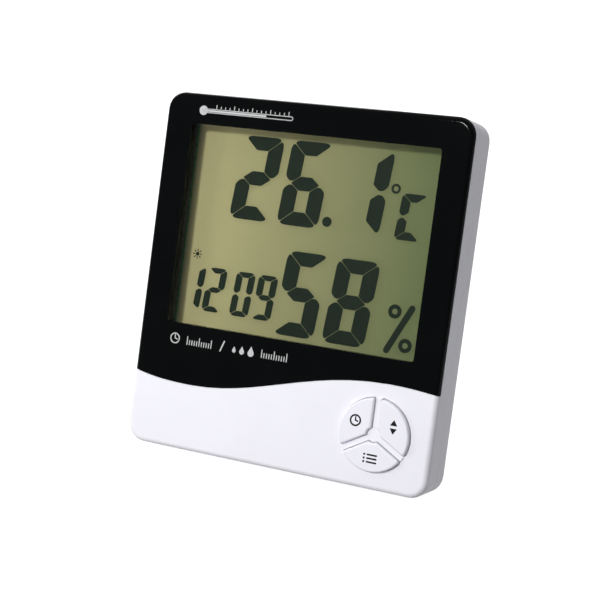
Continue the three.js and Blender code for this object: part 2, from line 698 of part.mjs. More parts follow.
function sectorKey(key) {
  const rounded = new THREE.ExtrudeGeometry(new THREE.Shape(keyOutline(key, 0)), {
    depth: FLANGE_FRONT + KEY_PROUD,
    bevelThickness: KEY_EDGE_ROUND,
    bevelSize: KEY_EDGE_ROUND,
    bevelOffset: -KEY_EDGE_ROUND,
    bevelSegments: EDGE_STEPS,
  });
  rounded.rotateX(Math.PI / 2).translate(0, FLANGE_FRONT + KEY_EDGE_ROUND, 0);
  return toSolid(rounded)
    .intersect(depthSlice(-KEY_PROUD - OVER, FLANGE_FRONT + KEY_FLANGE_THICKNESS / 2))
    .add(plate(keyOutline(key, KEY_FLANGE_LAP), FLANGE_FRONT, FLANGE_BACK))
    .subtract(plate(keyOutline(key, -KEY_SHELL), KEY_HOLLOW_FRONT, FLANGE_BACK + OVER))
    .add(rod(key.stem, STEM_RADIUS, KEY_HOLLOW_FRONT - ROOT, STEM_BACK));
}

// Rubber pad: each dome is hollow round a core that presses its carbon pill on to the board
function keypadMat() {
  const roof = DOME_FRONT + DOME_ROOF;
  const skinned = [DOME_TOP_RADIUS - DOME_SKIN, DOME_RADIUS - DOME_SKIN];
  const domes = KEYS.map(({ stem }) =>
    taperedRod(stem, DOME_TOP_RADIUS, DOME_RADIUS, DOME_FRONT, PAD_FRONT + ROOT, HOLE_SIDES));
  const hollows = KEYS.map(({ stem }) => taperedRod(stem, ...skinned, roof, PAD_BACK, HOLE_SIDES));
  const cores = KEYS.map(({ stem }) =>
    rod(stem, PILL_RADIUS, roof - DOME_SKIN, PILL_FRONT - MOUNT_GAP, HOLE_SIDES));
  return rod(KEY_CENTRE, STEM_FROM_HUB + DOME_RADIUS + PAD_MARGIN, PAD_FRONT, PAD_BACK, LARGE_SIDES)
    .add(joined(domes))
    .subtract(joined(hollows))
    .add(joined(cores));
}

function contactPill({ stem }) {
  return rod(stem, PILL_RADIUS, PILL_FRONT, PILL_FRONT + PILL_THICKNESS, HOLE_SIDES);
}

// Display
function displayGasket() {
  const back = GASKET_FRONT + GASKET_THICKNESS;
  const opening = roundedPoints(grow(WINDOW, GASKET_INSET), WINDOW_CORNER);
  return block(grow(WINDOW, LENS_LAP), GASKET_FRONT, back)
    .subtract(plate(opening, GASKET_FRONT - OVER, back + OVER));
}

function displayFilm(front) {
  return block(grow(WINDOW, FILM_LAP), front, front + FILM_THICKNESS);
}

function displayGlass(box, front) {
  return block(box, front, front + GLASS_THICKNESS);
}

function zebraStrip() {
  const strip = {
    left: FRONT_GLASS.left + STRIP_END_INSET,
    right: FRONT_GLASS.right - STRIP_END_INSET,
    bottom: FRONT_GLASS.bottom + SEAT_GAP,
    top: REAR_GLASS.bottom - SEAT_GAP,
  };
  return block(strip, REAR_GLASS_FRONT, BOARD_FRONT - MOUNT_GAP);
}

// Circuit board: a wide part behind the display and a leg behind the keys, with a notch at each
// case screw and a hole at each screw of its own
function mainBoard() {
  const notch = 2 * (SLEEVE_RADIUS + SIDE_GAP);
  const [front, back] = [BOARD_FRONT - OVER, BOARD_BACK + OVER];
  const removed = [
    ...CASE_POSTS.map((centre) => block(around(centre, notch, notch), front, back)),
    ...BOARD_POSTS.map((centre) => rod(centre, BOARD_SCREW.shank + SHANK_CLEARANCE, front, back)),
  ];
  return block(BOARD, BOARD_FRONT, BOARD_BACK)
    .add(block(BOARD_LEG, BOARD_FRONT, BOARD_BACK))
    .subtract(joined(removed));
}

function chipBlob() {
  const ball = new THREE.SphereGeometry(CHIP_RADIUS, HOLE_SIDES, TINY_SIDES);
  ball.scale(1, CHIP_HEIGHT / CHIP_RADIUS, 1).translate(CHIP.x, PART_FRONT, CHIP.y);
  return toSolid(ball).intersect(depthSlice(PART_FRONT, CASE_DEPTH));
}

function crystal() {
  const { left, right } = around(CRYSTAL, CRYSTAL_LENGTH, 0);
  return crossRod(left, right, PART_FRONT + CRYSTAL_RADIUS, CRYSTAL.y, CRYSTAL_RADIUS, SMALL_SIDES);
}

function tallCapacitor() {
  return rod(CAPACITOR, CAPACITOR_RADIUS, PART_FRONT, PART_FRONT + CAPACITOR_HEIGHT, HOLE_SIDES);
}

function resistor(number) {
  const shift = (number - (RESISTORS - 1) / 2) * RESISTOR_PITCH;
  const centre = place(OUTLINE.left + RESISTORS_FROM_LEFT + shift, BOARD.bottom + RESISTORS_OVER_EDGE);
  const box = around(centre, RESISTOR_LENGTH, RESISTOR_WIDTH);
  return block(box, PART_FRONT, PART_FRONT + RESISTOR_HEIGHT);
}

// Sensor with slots in its back, where the air reaches it through the vents
function humiditySensor() {
  const body = around(SENSOR, SENSOR_WIDTH, SENSOR_LENGTH);
  const back = PART_FRONT + SENSOR_HEIGHT;
  let sensor = block(body, PART_FRONT, back);
  for (let z = body.bottom + SENSOR_SLOT; z < body.top - SENSOR_SLOT; z += 2 * SENSOR_SLOT) {
    const slot = { ...grow(body, -SENSOR_SLOT), bottom: z, top: z + SENSOR_SLOT };
    sensor = sensor.subtract(block(slot, back - SENSOR_SLOT, back + OVER));
  }
  return sensor;
}

function thermistor() {
  const centre = place(SENSOR.x - SENSOR_WIDTH / 2 - BEAD_BESIDE_SENSOR, SENSOR.y);
  const depth = PART_FRONT + BEAD_STANDOFF + BEAD_RADIUS;
  const bead = new THREE.SphereGeometry(BEAD_RADIUS, SMALL_SIDES, TINY_SIDES);
  const leads = [-1, 1].map((side) => {
    const foot = place(centre.x + side * LEAD_SPREAD, centre.y);
    return rod(foot, LEAD_RADIUS, PART_FRONT, depth, WIRE_SIDES);
  });
  return toSolid(bead.translate(centre.x, depth, centre.y)).add(joined(leads));
}

// Rear switches and the button over one of them
function switchBody(centre) {
  const wellFront = PLUNGER_FRONT - UNIT_TRAVEL - SEAT_GAP;
  const well = rod(centre, PLUNGER_RADIUS + SHANK_CLEARANCE, wellFront, SWITCH_BACK + OVER, HOLE_SIDES);
  return block(around(centre, SWITCH_WIDTH, SWITCH_WIDTH), PART_FRONT, SWITCH_BACK).subtract(well);
}

function plunger(centre) {
  return rod(centre, PLUNGER_RADIUS, PLUNGER_FRONT, UNIT_FLANGE_FRONT - MOUNT_GAP, HOLE_SIDES);
}

function unitButton() {
  const capFront = UNIT_FLANGE_BACK - UNIT_FLANGE_THICKNESS / 2;
  return rod(UNIT, UNIT_RADIUS + UNIT_FLANGE_LAP, UNIT_FLANGE_FRONT, UNIT_FLANGE_BACK, HOLE_SIDES)
    .add(rod(UNIT, UNIT_RADIUS, capFront, CASE_DEPTH - UNIT_SUNK, HOLE_SIDES));
}

// Sounder: a brass disc with a ceramic disc in front of it
function sounderDisc() {
  return rod(SOUNDER, SOUNDER_RADIUS, SOUNDER_FRONT, SOUNDER_FRONT + SOUNDER_THICKNESS, LARGE_SIDES);
}

function sounderCeramic() {
  return rod(SOUNDER, CERAMIC_RADIUS, CERAMIC_FRONT, CERAMIC_FRONT + CERAMIC_THICKNESS, LARGE_SIDES);
}

// Its wires run down the front of the ceramic disc, off its edge and forward to the board
function sounderWire(side) {
  const x = SOUNDER.x + side * THIN_WIRE_SPREAD;
  const depth = CERAMIC_FRONT - MOUNT_GAP - THIN_WIRE_RADIUS;
  const discEdge = SOUNDER.y - CERAMIC_RADIUS;
  const landing = SOUNDER.y - SOUNDER_RADIUS - THIN_WIRE_LOOP;
  const curve = new THREE.CatmullRomCurve3([
    new THREE.Vector3(x, depth, SOUNDER.y - THIN_WIRE_SPREAD),
    new THREE.Vector3(x, depth, discEdge),
    new THREE.Vector3(x, depth - THIN_WIRE_LOOP / 2, discEdge - THIN_WIRE_LOOP),
    new THREE.Vector3(x, PART_FRONT + THIN_WIRE_LOOP, landing),
    new THREE.Vector3(x, PART_FRONT, landing),
  ]);
  return tube(curve, THIN_WIRE_RADIUS, WIRE_SIDES, WIRE_STEPS);
}

// Battery, contacts and wires
function battery() {
  const end = BATTERY_X + BATTERY_LENGTH;
  const shoulder = end - BATTERY_NUB_LENGTH;
  return crossRod(BATTERY_X, shoulder, BATTERY_DEPTH, BATTERY_Z, BATTERY_RADIUS, LARGE_SIDES)
    .add(crossRod(shoulder - ROOT, end, BATTERY_DEPTH, BATTERY_Z, BATTERY_NUB_RADIUS));
}

// A contact has a tab that passes up through a slot in the bay to its wire
function contactPlate(left) {
  const right = left + CONTACT_THICKNESS;
  const [blade, tab] = [CONTACT_HALF_WIDTH, CONTACT_TAB_HALF_WIDTH];
  const bladeBox = { left, right, bottom: BATTERY_Z - blade, top: BATTERY_Z + blade };
  const tabBox = { left, right, bottom: BATTERY_Z, top: BAY_OUTER.top + CONTACT_TAB_REACH };
  return block(bladeBox, BATTERY_DEPTH - blade, BATTERY_DEPTH + blade)
    .add(block(tabBox, BATTERY_DEPTH - tab, BATTERY_DEPTH + tab));
}

class ConicalCoil extends THREE.Curve {
  getPoint(t, target = new THREE.Vector3()) {
    const angle = t * SPRING_TURNS * 2 * Math.PI;
    const radius = THREE.MathUtils.lerp(SPRING_WIDE_RADIUS, SPRING_NARROW_RADIUS, t);
    const along = THREE.MathUtils.lerp(SPRING_WIRE_RADIUS, SPRING_LENGTH - SPRING_WIRE_RADIUS, t);
    const [y, z] = [radius * Math.cos(angle), radius * Math.sin(angle)];
    return target.set(SPRING_X + along, BATTERY_DEPTH + y, BATTERY_Z + z);
  }
}

function batterySpring() {
  return tube(new ConicalCoil(), SPRING_WIRE_RADIUS, SPRING_SIDES, SPRING_TURNS * SPRING_STEPS);
}

// A battery wire rises from its contact's tab and bends towards the middle of the bay, round the
// board's lower edge and on to its back
function batteryWire(contactLeft, side) {
  const x = contactLeft + CONTACT_THICKNESS / 2;
  const landing = x + side * WIRE_SHIFT;
  const start = BAY_OUTER.top + CONTACT_TAB_REACH + MOUNT_GAP;
  const curve = new THREE.CatmullRomCurve3([
    new THREE.Vector3(x, BATTERY_DEPTH, start),
    new THREE.Vector3(x, BATTERY_DEPTH, start + WIRE_RISE),
    new THREE.Vector3(landing, WIRE_DEPTH, BOARD.bottom - WIRE_RADIUS),
    new THREE.Vector3(landing, WIRE_DEPTH, BOARD.bottom + WIRE_LANDING),
    new THREE.Vector3(landing, PART_FRONT, BOARD.bottom + WIRE_LANDING),
  ]);
  return tube(curve, WIRE_RADIUS, WIRE_SIDES, WIRE_STEPS);
}

// Back cover: its shell, and lips on both sides and the bottom that reach into the front case
function coverShell() {
  return envelope()
    .intersect(depthSlice(SEAM_DEPTH + SEAM_GAP, CASE_DEPTH + OVER))
    .subtract(innerSpace(SEAM_DEPTH, BACK_INNER));
}

function lips() {
  const free = grow(INNER, -LIP_INSET);
  const tongue = grow(INNER, -LIP_GAP);
  const root = grow(INNER, ROOT);
  const rise = { bottom: OUTLINE.bottom + LIP_FROM_BOTTOM, top: OUTLINE.top - LIP_FROM_TOP };
  const run = { left: OUTLINE.left + LIP_FROM_SIDE, right: OUTLINE.right - LIP_FROM_SIDE };
  const barsTo = (wall) => [
    { ...rise, left: wall.left, right: free.left },
    { ...rise, left: free.right, right: wall.right },
    { ...run, bottom: wall.bottom, top: free.bottom },
  ];
  const back = SEAM_DEPTH + LIP_ROOT;
  return joined([
    ...barsTo(tongue).map((box) => block(box, SEAM_DEPTH - LIP_REACH, back)),
    ...barsTo(root).map((box) => block(box, SEAM_DEPTH + SEAM_GAP, back)),
  ]);
}

// The bay is a trough round the battery, half round at the front and straight at the back
function batteryBay() {
  const shell = BAY_RADIUS + BAY_SHELL;
  const sides = { ...BAY_OUTER, bottom: BATTERY_Z - shell, top: BATTERY_Z + shell };
  return crossRod(BAY_OUTER.left, BAY_OUTER.right, BATTERY_DEPTH, BATTERY_Z, shell, LARGE_SIDES)
    .add(block(sides, BATTERY_DEPTH, BACK_INNER + ROOT))
    .add(block(BAY_OUTER, BACK_INNER - BAY_RIM_DEPTH, BACK_INNER + ROOT));
}

function contactSlot(left) {
  const tab = { left, right: left + CONTACT_THICKNESS, bottom: BATTERY_Z, top: BAY_OUTER.top + OVER };
  const half = CONTACT_TAB_HALF_WIDTH + MOUNT_GAP;
  return block(grow(tab, MOUNT_GAP), BATTERY_DEPTH - half, BATTERY_DEPTH + half);
}

function hookSpans(by) {
  return [-1, 1].map((side) => {
    const centre = place(DOOR_MIDDLE + side * HOOK_FROM_MIDDLE, DOOR_PIVOT_Z);
    const { left, right } = around(centre, HOOK_WIDTH + 2 * by, 0);
    return { left, right };
  });
}

function hookNotch(span) {
  const notch = { ...span, bottom: BAY_OUTER.bottom - OVER, top: BAY.bottom + OVER };
  return block(notch, DOOR_PIVOT_DEPTH - HOOK_REACH - HOOK_THICKNESS, BACK_INNER);
}

function batteryRoom() {
  return joined([
    crossRod(BAY.left, BAY.right, BATTERY_DEPTH, BATTERY_Z, BAY_RADIUS, LARGE_SIDES),
    block(BAY, BATTERY_DEPTH, CASE_DEPTH + OVER),
    block(DOOR_OPENING, DOOR_FRONT - SEAT_GAP, CASE_DEPTH + OVER),
    contactSlot(NEGATIVE_X),
    contactSlot(POSITIVE_X),
    ...hookSpans(SEAT_GAP).map(hookNotch),
  ]);
}

// Recess for the folded foot, a thumb scoop over its tip and a blind socket for each pin
function recessBody() {
  const [front, back] = [RECESS_DEPTH - RECESS_FLOOR, BACK_INNER + ROOT];
  return block(grow(RECESS, RECESS_WALL), front, back)
    .add(rod(SCOOP, SCOOP_RADIUS + RECESS_FLOOR, front, back, LARGE_SIDES));
}

function recessRoom() {
  const socketRadius = FOOT_PIN_RADIUS + FOOT_SOCKET_CLEARANCE;
  const socketReach = FOOT_HINGE_HALF_WIDTH + FOOT_PIN_LENGTH + SEAT_GAP;
  return joined([
    block(RECESS, RECESS_DEPTH, CASE_DEPTH + OVER),
    rod(SCOOP, SCOOP_RADIUS, RECESS_DEPTH, CASE_DEPTH + OVER, LARGE_SIDES),
    crossRod(-socketReach, socketReach, FOOT_PIVOT_DEPTH, FOOT_PIVOT_Z, socketRadius),
  ]);
}

function sounderRing() {
  const inner = SOUNDER_RADIUS + SEAT_GAP;
  const front = BACK_INNER - SOUNDER_RING_DEPTH;
  return rod(SOUNDER, inner + SOUNDER_RING_WALL, front, BACK_INNER + ROOT, LARGE_SIDES)
    .subtract(rod(SOUNDER, inner, front - OVER, BACK_INNER, LARGE_SIDES));
}

function screwSleeve(centre) {
  return rod(centre, SLEEVE_RADIUS, SLEEVE_FRONT, BACK_INNER + ROOT, HOLE_SIDES)
    .intersect(innerSpace(SEAM_DEPTH, CASE_DEPTH));
}

function screwHole(centre) {
  return rod(centre, CASE_SCREW.head + HEAD_CLEARANCE, SLEEVE_BACK, CASE_DEPTH + OVER, HOLE_SIDES)
    .add(rod(centre, CASE_SCREW.shank + SHANK_CLEARANCE, SLEEVE_FRONT - OVER, SLEEVE_BACK + OVER));
}

function wallHole(centre, radius, sides = HOLE_SIDES) {
  return rod(centre, radius, BACK_INNER - OVER, CASE_DEPTH + OVER, sides);
}

function keyhole() {
  const slotEnd = place(HANGER.x, HANGER.y + HANGER_SLOT_RISE);
  const slot = { ...around(HANGER, 2 * HANGER_SLOT_RADIUS, 0), top: slotEnd.y };
  return wallHole(HANGER, HANGER_HEAD_RADIUS)
    .add(wallHole(slotEnd, HANGER_SLOT_RADIUS))
    .add(block(slot, BACK_INNER - OVER, CASE_DEPTH + OVER));
}

function soundHoles() {
  const centres = [SOUNDER, ...circlePoints(SOUNDER, SOUND_HOLE_SPREAD, SOUND_HOLES)];
  return joined(centres.map((centre) => wallHole(centre, SOUND_HOLE_RADIUS, TINY_SIDES)));
}

function vents() {
  const slots = [];
  for (let i = 0; i < VENTS; i++) {
    const centre = place(SENSOR.x + (i - (VENTS - 1) / 2) * VENT_PITCH, SENSOR.y);
    const box = around(centre, VENT_WIDTH, VENT_HEIGHT);
    const outline = roundedPoints(box, VENT_WIDTH / 2, SLOT_END_STEPS);
    slots.push(plate(outline, BACK_INNER - OVER, CASE_DEPTH + OVER));
  }
  return joined(slots);
}

function backCover() {
  const added = [recessBody(), batteryBay(), sounderRing(), lips(), ...CASE_POSTS.map(screwSleeve)];
  const removed = [
    recessRoom(),
    batteryRoom(),
    keyhole(),
    soundHoles(),
    vents(),
    wallHole(UNIT, UNIT_RADIUS + HEAD_CLEARANCE),
    wallHole(RESET, RESET_HOLE_RADIUS, SMALL_SIDES),
    ...CASE_POSTS.map(screwHole),
  ];
  return coverShell().add(joined(added)).subtract(joined(removed));
}

// Battery door: a plate that turns out about its round lower edge, with two hooks under the
// cover's wall, a latch tongue between two slits and grip grooves on the tongue
function doorHook(span) {
  const back = BACK_INNER - HOOK_GAP;
  const front = back - HOOK_THICKNESS;
  const top = DOOR_PIVOT_Z + HOOK_THICKNESS;
  return block({ ...span, bottom: DOOR_PIVOT_Z - SEAT_GAP, top }, front, DOOR_FRONT + ROOT)
    .add(block({ ...span, bottom: DOOR_PIVOT_Z - HOOK_REACH, top }, front, back));
}

function latchSlit(side) {
  const centre = place(DOOR_MIDDLE + (side * LATCH_WIDTH) / 2, DOOR.top);
  const slit = { ...around(centre, LATCH_SLIT, 2 * OVER), bottom: DOOR.top - LATCH_LENGTH };
  return block(slit, DOOR_FRONT - OVER, CASE_DEPTH + OVER);
}

function gripGroove(number) {
  const rise = (number - (GRIP_GROOVES - 1) / 2) * 2 * GRIP_GROOVE;
  const centre = place(DOOR_MIDDLE, DOOR.top - LATCH_LENGTH / 2 + rise);
  const groove = around(centre, LATCH_WIDTH - 2 * GRIP_GROOVE_INSET, GRIP_GROOVE);
  return block(groove, CASE_DEPTH - GRIP_GROOVE_DEPTH, CASE_DEPTH + OVER);
}

function batteryDoor() {
  const cuts = [latchSlit(-1), latchSlit(1)];
  for (let i = 0; i < GRIP_GROOVES; i++) cuts.push(gripGroove(i));
  return block({ ...DOOR, bottom: DOOR_PIVOT_Z }, DOOR_FRONT, CASE_DEPTH)
    .add(crossRod(DOOR.left, DOOR.right, DOOR_PIVOT_DEPTH, DOOR_PIVOT_Z, DOOR_THICKNESS / 2))
    .add(joined(hookSpans(0).map(doorHook)))
    .subtract(joined(cuts));
}

// The foot is drawn folded up, with its pivot at the origin of its own group. Its plate narrows
// towards the tip and has a pocket in the face that lies in the recess.
function footOutline(inset) {
  const tip = FOOT_LENGTH - TIP_RADIUS;
  return [
    place(-FOOT_HINGE_HALF_WIDTH + inset, inset),
    place(FOOT_HINGE_HALF_WIDTH - inset, inset),
    place(FOOT_TIP_HALF_WIDTH - inset, tip - inset),
    place(-FOOT_TIP_HALF_WIDTH + inset, tip - inset),
  ];
}

function standFoot() {
  const tip = FOOT_LENGTH - TIP_RADIUS;
  const pinReach = FOOT_HINGE_HALF_WIDTH + FOOT_PIN_LENGTH;
  return joined([
    plate(footOutline(0), -TIP_RADIUS, TIP_RADIUS),
    crossRod(-FOOT_HINGE_HALF_WIDTH, FOOT_HINGE_HALF_WIDTH, 0, 0, TIP_RADIUS),
    crossRod(-FOOT_TIP_HALF_WIDTH, FOOT_TIP_HALF_WIDTH, 0, tip, TIP_RADIUS),
    crossRod(-pinReach, pinReach, 0, 0, FOOT_PIN_RADIUS),
  ]).subtract(plate(footOutline(FOOT_RIM), -TIP_RADIUS - OVER, TIP_RADIUS - FOOT_SKIN));
}

// Pan-head screw that points to the front, with a cross recess in its head
function screw(centre, size, seat) {
  const back = seat + size.height;
  const length = 2 * (size.head - CROSS_SLOT);
  return rod(centre, size.shank, seat - size.reach, seat + size.height / 2)
    .add(rod(centre, size.head, seat, back, HOLE_SIDES))
    .subtract(block(around(centre, length, CROSS_SLOT), back - CROSS_DEPTH, back + OVER))
    .subtract(block(around(centre, CROSS_SLOT, length), back - CROSS_DEPTH, back + OVER));
}

// Finishes
function finish(color, roughness, metalness = 0) {
  return { color, roughness, metalness };
}

const WHITE_SHELL = finish(0xe9e8ee, 0.45);
const WHITE_KEY = finish(0xf0eff5, 0.5);
const BLACK_GLOSS = finish(0x101113, 0.25);
const CLEAR = finish(0xdfe8e4, 0.05);
const FILM = finish(0x9c9d72, 0.4);
const RUBBER = finish(0xb9babd, 0.8);
const CARBON = finish(0x18181a, 0.8);
const FOAM = finish(0x1c1d1d, 0.9);
const LAMINATE = finish(0x1f5a38, 0.5);
const EPOXY = finish(0x151515, 0.35);
const STEEL = finish(0xb8bbc0, 0.3, 1);
const BRASS = finish(0xc9a44c, 0.35, 1);
const CERAMIC = finish(0xd9d6cf, 0.6);
const SENSOR_BLUE = finish(0x3f78b5, 0.5);
const BATTERY_WRAP = finish(0x2f5f49, 0.35, 0.2);
const RED_WIRE = finish(0xb3241f, 0.5);
const BLACK_WIRE = finish(0x1b1b1c, 0.5);

function addPiece(group, name, solid, look) {
  const mesh = new THREE.Mesh(toGeometry(solid), new THREE.MeshStandardMaterial(look));
  mesh.name = name;
  group.add(mesh);
}

// Assembly: all is placed in the case's frame, and the case leans back as one
const stance = new THREE.Group();
stance.rotation.x = -lean;

addPiece(stance, 'front_case', frontCase(), WHITE_SHELL);
addPiece(stance, 'front_bezel', frontBezel(), BLACK_GLOSS);
addPiece(stance, 'window_lens', windowLens(), CLEAR);
for (const key of KEYS) {
  addPiece(stance, `key_${key.side}`, sectorKey(key), WHITE_KEY);
  addPiece(stance, `contact_pill_${key.side}`, contactPill(key), CARBON);
}
addPiece(stance, 'keypad_mat', keypadMat(), RUBBER);
addPiece(stance, 'display_gasket', displayGasket(), FOAM);
addPiece(stance, 'front_polariser', displayFilm(FILM_FRONT), FILM);
addPiece(stance, 'front_glass', displayGlass(FRONT_GLASS, FRONT_GLASS_FRONT), CLEAR);
addPiece(stance, 'rear_glass', displayGlass(REAR_GLASS, REAR_GLASS_FRONT), CLEAR);
addPiece(stance, 'reflector', displayFilm(REFLECTOR_FRONT), FILM);
addPiece(stance, 'zebra_strip', zebraStrip(), RUBBER);
addPiece(stance, 'main_board', mainBoard(), LAMINATE);
addPiece(stance, 'chip_blob', chipBlob(), EPOXY);
addPiece(stance, 'crystal', crystal(), STEEL);
addPiece(stance, 'tall_capacitor', tallCapacitor(), STEEL);
for (let i = 0; i < RESISTORS; i++) addPiece(stance, `chip_resistor_${i + 1}`, resistor(i), EPOXY);
addPiece(stance, 'humidity_sensor', humiditySensor(), SENSOR_BLUE);
addPiece(stance, 'thermistor', thermistor(), EPOXY);
addPiece(stance, 'unit_switch', switchBody(UNIT), EPOXY);
addPiece(stance, 'unit_plunger', plunger(UNIT), EPOXY);
addPiece(stance, 'unit_button', unitButton(), WHITE_KEY);
addPiece(stance, 'reset_switch', switchBody(RESET), EPOXY);
addPiece(stance, 'reset_plunger', plunger(RESET), EPOXY);
addPiece(stance, 'sounder_disc', sounderDisc(), BRASS);
addPiece(stance, 'sounder_ceramic', sounderCeramic(), CERAMIC);
addPiece(stance, 'sounder_wire_red', sounderWire(-1), RED_WIRE);
addPiece(stance, 'sounder_wire_black', sounderWire(1), BLACK_WIRE);
addPiece(stance, 'back_cover', backCover(), WHITE_SHELL);
addPiece(stance, 'battery', battery(), BATTERY_WRAP);
addPiece(stance, 'negative_contact', contactPlate(NEGATIVE_X), STEEL);
addPiece(stance, 'positive_contact', contactPlate(POSITIVE_X), STEEL);
addPiece(stance, 'battery_spring', batterySpring(), STEEL);
addPiece(stance, 'battery_wire_black', batteryWire(NEGATIVE_X, 1), BLACK_WIRE);
addPiece(stance, 'battery_wire_red', batteryWire(POSITIVE_X, -1), RED_WIRE);
addPiece(stance, 'battery_door', batteryDoor(), WHITE_SHELL);
CASE_POSTS.forEach((centre, i) => {
  addPiece(stance, `case_screw_${i + 1}`, screw(centre, CASE_SCREW, SLEEVE_BACK + MOUNT_GAP), STEEL);
});
BOARD_POSTS.forEach((centre, i) => {
  addPiece(stance, `board_screw_${i + 1}`, screw(centre, BOARD_SCREW, PART_FRONT), STEEL);
});

const foot = new THREE.Group();
foot.position.set(0, FOOT_PIVOT_DEPTH, FOOT_PIVOT_Z);
foot.rotation.x = -footOpen;
addPiece(foot, 'stand_foot', standFoot(), WHITE_SHELL);
stance.add(foot);

// The part stands on z = 0 with the middle of its footprint at the origin
const part = new THREE.Group();
part.add(stance);
part.updateMatrixWorld(true);
const bounds = new THREE.Box3().setFromObject(part, true);
const middle = bounds.getCenter(new THREE.Vector3());
stance.position.set(-middle.x, -middle.y, -bounds.min.z);

export default part;
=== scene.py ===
"""A desk thermometer, hygrometer and clock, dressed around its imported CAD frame.

Lengths are millimetres in the case's own frame, as in the CAD: X to the right of someone who
faces the display, Y from the front face to the back, Z up. CASE turns them into metres in the
frame of the row, where the case leans back. Camera, lamps, floor and materials are in metres.
"""

import json
import math

import bmesh
import bpy
from mathutils import Matrix, Vector

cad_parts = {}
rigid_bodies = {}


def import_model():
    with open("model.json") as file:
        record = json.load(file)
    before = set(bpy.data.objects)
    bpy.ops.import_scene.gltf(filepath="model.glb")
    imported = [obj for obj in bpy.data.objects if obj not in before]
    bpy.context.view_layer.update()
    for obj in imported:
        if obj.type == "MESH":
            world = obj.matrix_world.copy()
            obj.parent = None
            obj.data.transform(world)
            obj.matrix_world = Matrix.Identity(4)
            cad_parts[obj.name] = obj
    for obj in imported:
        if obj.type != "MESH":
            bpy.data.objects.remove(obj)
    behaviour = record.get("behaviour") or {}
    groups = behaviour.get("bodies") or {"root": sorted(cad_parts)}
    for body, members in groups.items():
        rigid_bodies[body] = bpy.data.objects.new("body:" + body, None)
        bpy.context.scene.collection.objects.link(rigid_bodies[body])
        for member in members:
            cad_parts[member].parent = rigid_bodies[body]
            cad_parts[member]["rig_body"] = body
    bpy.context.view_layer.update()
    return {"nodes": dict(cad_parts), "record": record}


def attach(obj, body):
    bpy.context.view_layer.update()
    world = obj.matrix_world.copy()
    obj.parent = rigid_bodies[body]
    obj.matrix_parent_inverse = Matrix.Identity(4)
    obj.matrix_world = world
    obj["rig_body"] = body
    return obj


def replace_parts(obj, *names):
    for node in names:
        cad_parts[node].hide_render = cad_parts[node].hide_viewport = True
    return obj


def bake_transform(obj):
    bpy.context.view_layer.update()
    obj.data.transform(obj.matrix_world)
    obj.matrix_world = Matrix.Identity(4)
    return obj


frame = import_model()

# The case's frame in the row's frame
MM = 0.001
LEAN = math.radians(17.8)
CASE_ORIGIN = Vector((0, -25.461, 4.5777))
CASE = (
    Matrix.Translation(CASE_ORIGIN * MM)
    @ Matrix.Rotation(-LEAN, 4, "X")
    @ Matrix.Scale(MM, 4)
)
HALF_WIDTH = 49
CASE_HEIGHT = 108

# Camera, fitted to the straight edges of the case in the photograph
CAMERA_PLACE = Vector((0.15952, -0.34263, 0.18288))
CAMERA_LOOK = Vector((-0.4009, 0.85326, -0.33351))
CAMERA_LENS = 80.18
CAMERA_NEAR = 0.01
SENSOR = 36

# Light
LAMP_AIM = Vector((0, 0, 0.05))
LAMPS = {
    "key": {
        "place": Vector((-0.19, -0.798, 0.542)),
        "size": 0.12,
        "power": 5.25,
        "shadow": True,
        "gloss": True,
    },
    "left_fill": {
        "place": Vector((-0.3, -0.239, 0.157)),
        "size": 0.15,
        "power": 0.3,
        "shadow": True,
        "gloss": False,
    },
    "top_glow": {
        "place": Vector((-0.06, -0.189, 0.477)),
        "size": 0.15,
        "power": 0.5,
        "shadow": False,
        "gloss": False,
    },
    "behind": {
        "place": Vector((-0.45, 0.5, 0.4)),
        "size": 0.5,
        "power": 3.6,
        "shadow": True,
        "gloss": True,
    },
}
SKY = (0.95, 0.97, 1.0, 1)
SKY_MEAN = 0.25
SKY_SLOPE = Vector((-0.07, 0.16, 0.22))

# What glossy surfaces show: a room that is dark in front of the clock and bright behind it
ROOM_DARK = 0.04
ROOM_BRIGHT = 0.6
ROOM_FRONT = -0.35
ROOM_BACK = 0.3

# The floor, which the eye sees as white apart from the clock's shadow
FLOOR_RADIUS = 3
FLOOR_SIDES = 64
FLOOR_COLOUR = (0.25, 0.25, 0.255, 1)
FLOOR_LIFT = 0.95

# How many see-through faces a ray may cross: the lens, the film and both glasses, in and out
LAYERS = 32

# Outlines
CORNER_SHARE_OF_SIDE = 0.49
CORNER_STEPS = 4
CIRCLE_SIDES = 32
STROKE_STEPS = 8
FINE_STROKE_STEPS = 4
DROP_STEPS = 20
DROP_TIP = 2.1


def polar(turn, reach):
    return Vector((math.cos(turn), math.sin(turn))) * reach


def rounded(points, radius):
    """The outline with each corner bent within radius, or within the radius given for it."""
    count = len(points)
    radii = radius if isinstance(radius, list) else [radius] * count
    out = []
    for i, corner in enumerate(points):
        before, after = points[i - 1], points[(i + 1) % count]
        reach = [min(radii[i], (end - corner).length * CORNER_SHARE_OF_SIDE) for end in (before, after)]
        start = corner + (before - corner).normalized() * reach[0]
        end = corner + (after - corner).normalized() * reach[1]
        for step in range(CORNER_STEPS + 1):
            t = step / CORNER_STEPS
            out.append(start * (1 - t) ** 2 + corner * 2 * t * (1 - t) + end * t * t)
    return out


def inset(points, by):
    """A convex outline, counterclockwise, with each side moved in."""
    count = len(points)
    moved = []
    for i in range(count):
        side = (points[(i + 1) % count] - points[i]).normalized()
        normal = Vector((-side.y, side.x))
        moved.append((points[i] + normal * by, side))
    out = []
    for i in range(count):
        (a, u), (b, v) = moved[i - 1], moved[i]
        cross = u.x * v.y - u.y * v.x
        shift = b - a
        out.append(a + u * ((shift.x * v.y - shift.y * v.x) / cross))
    return out


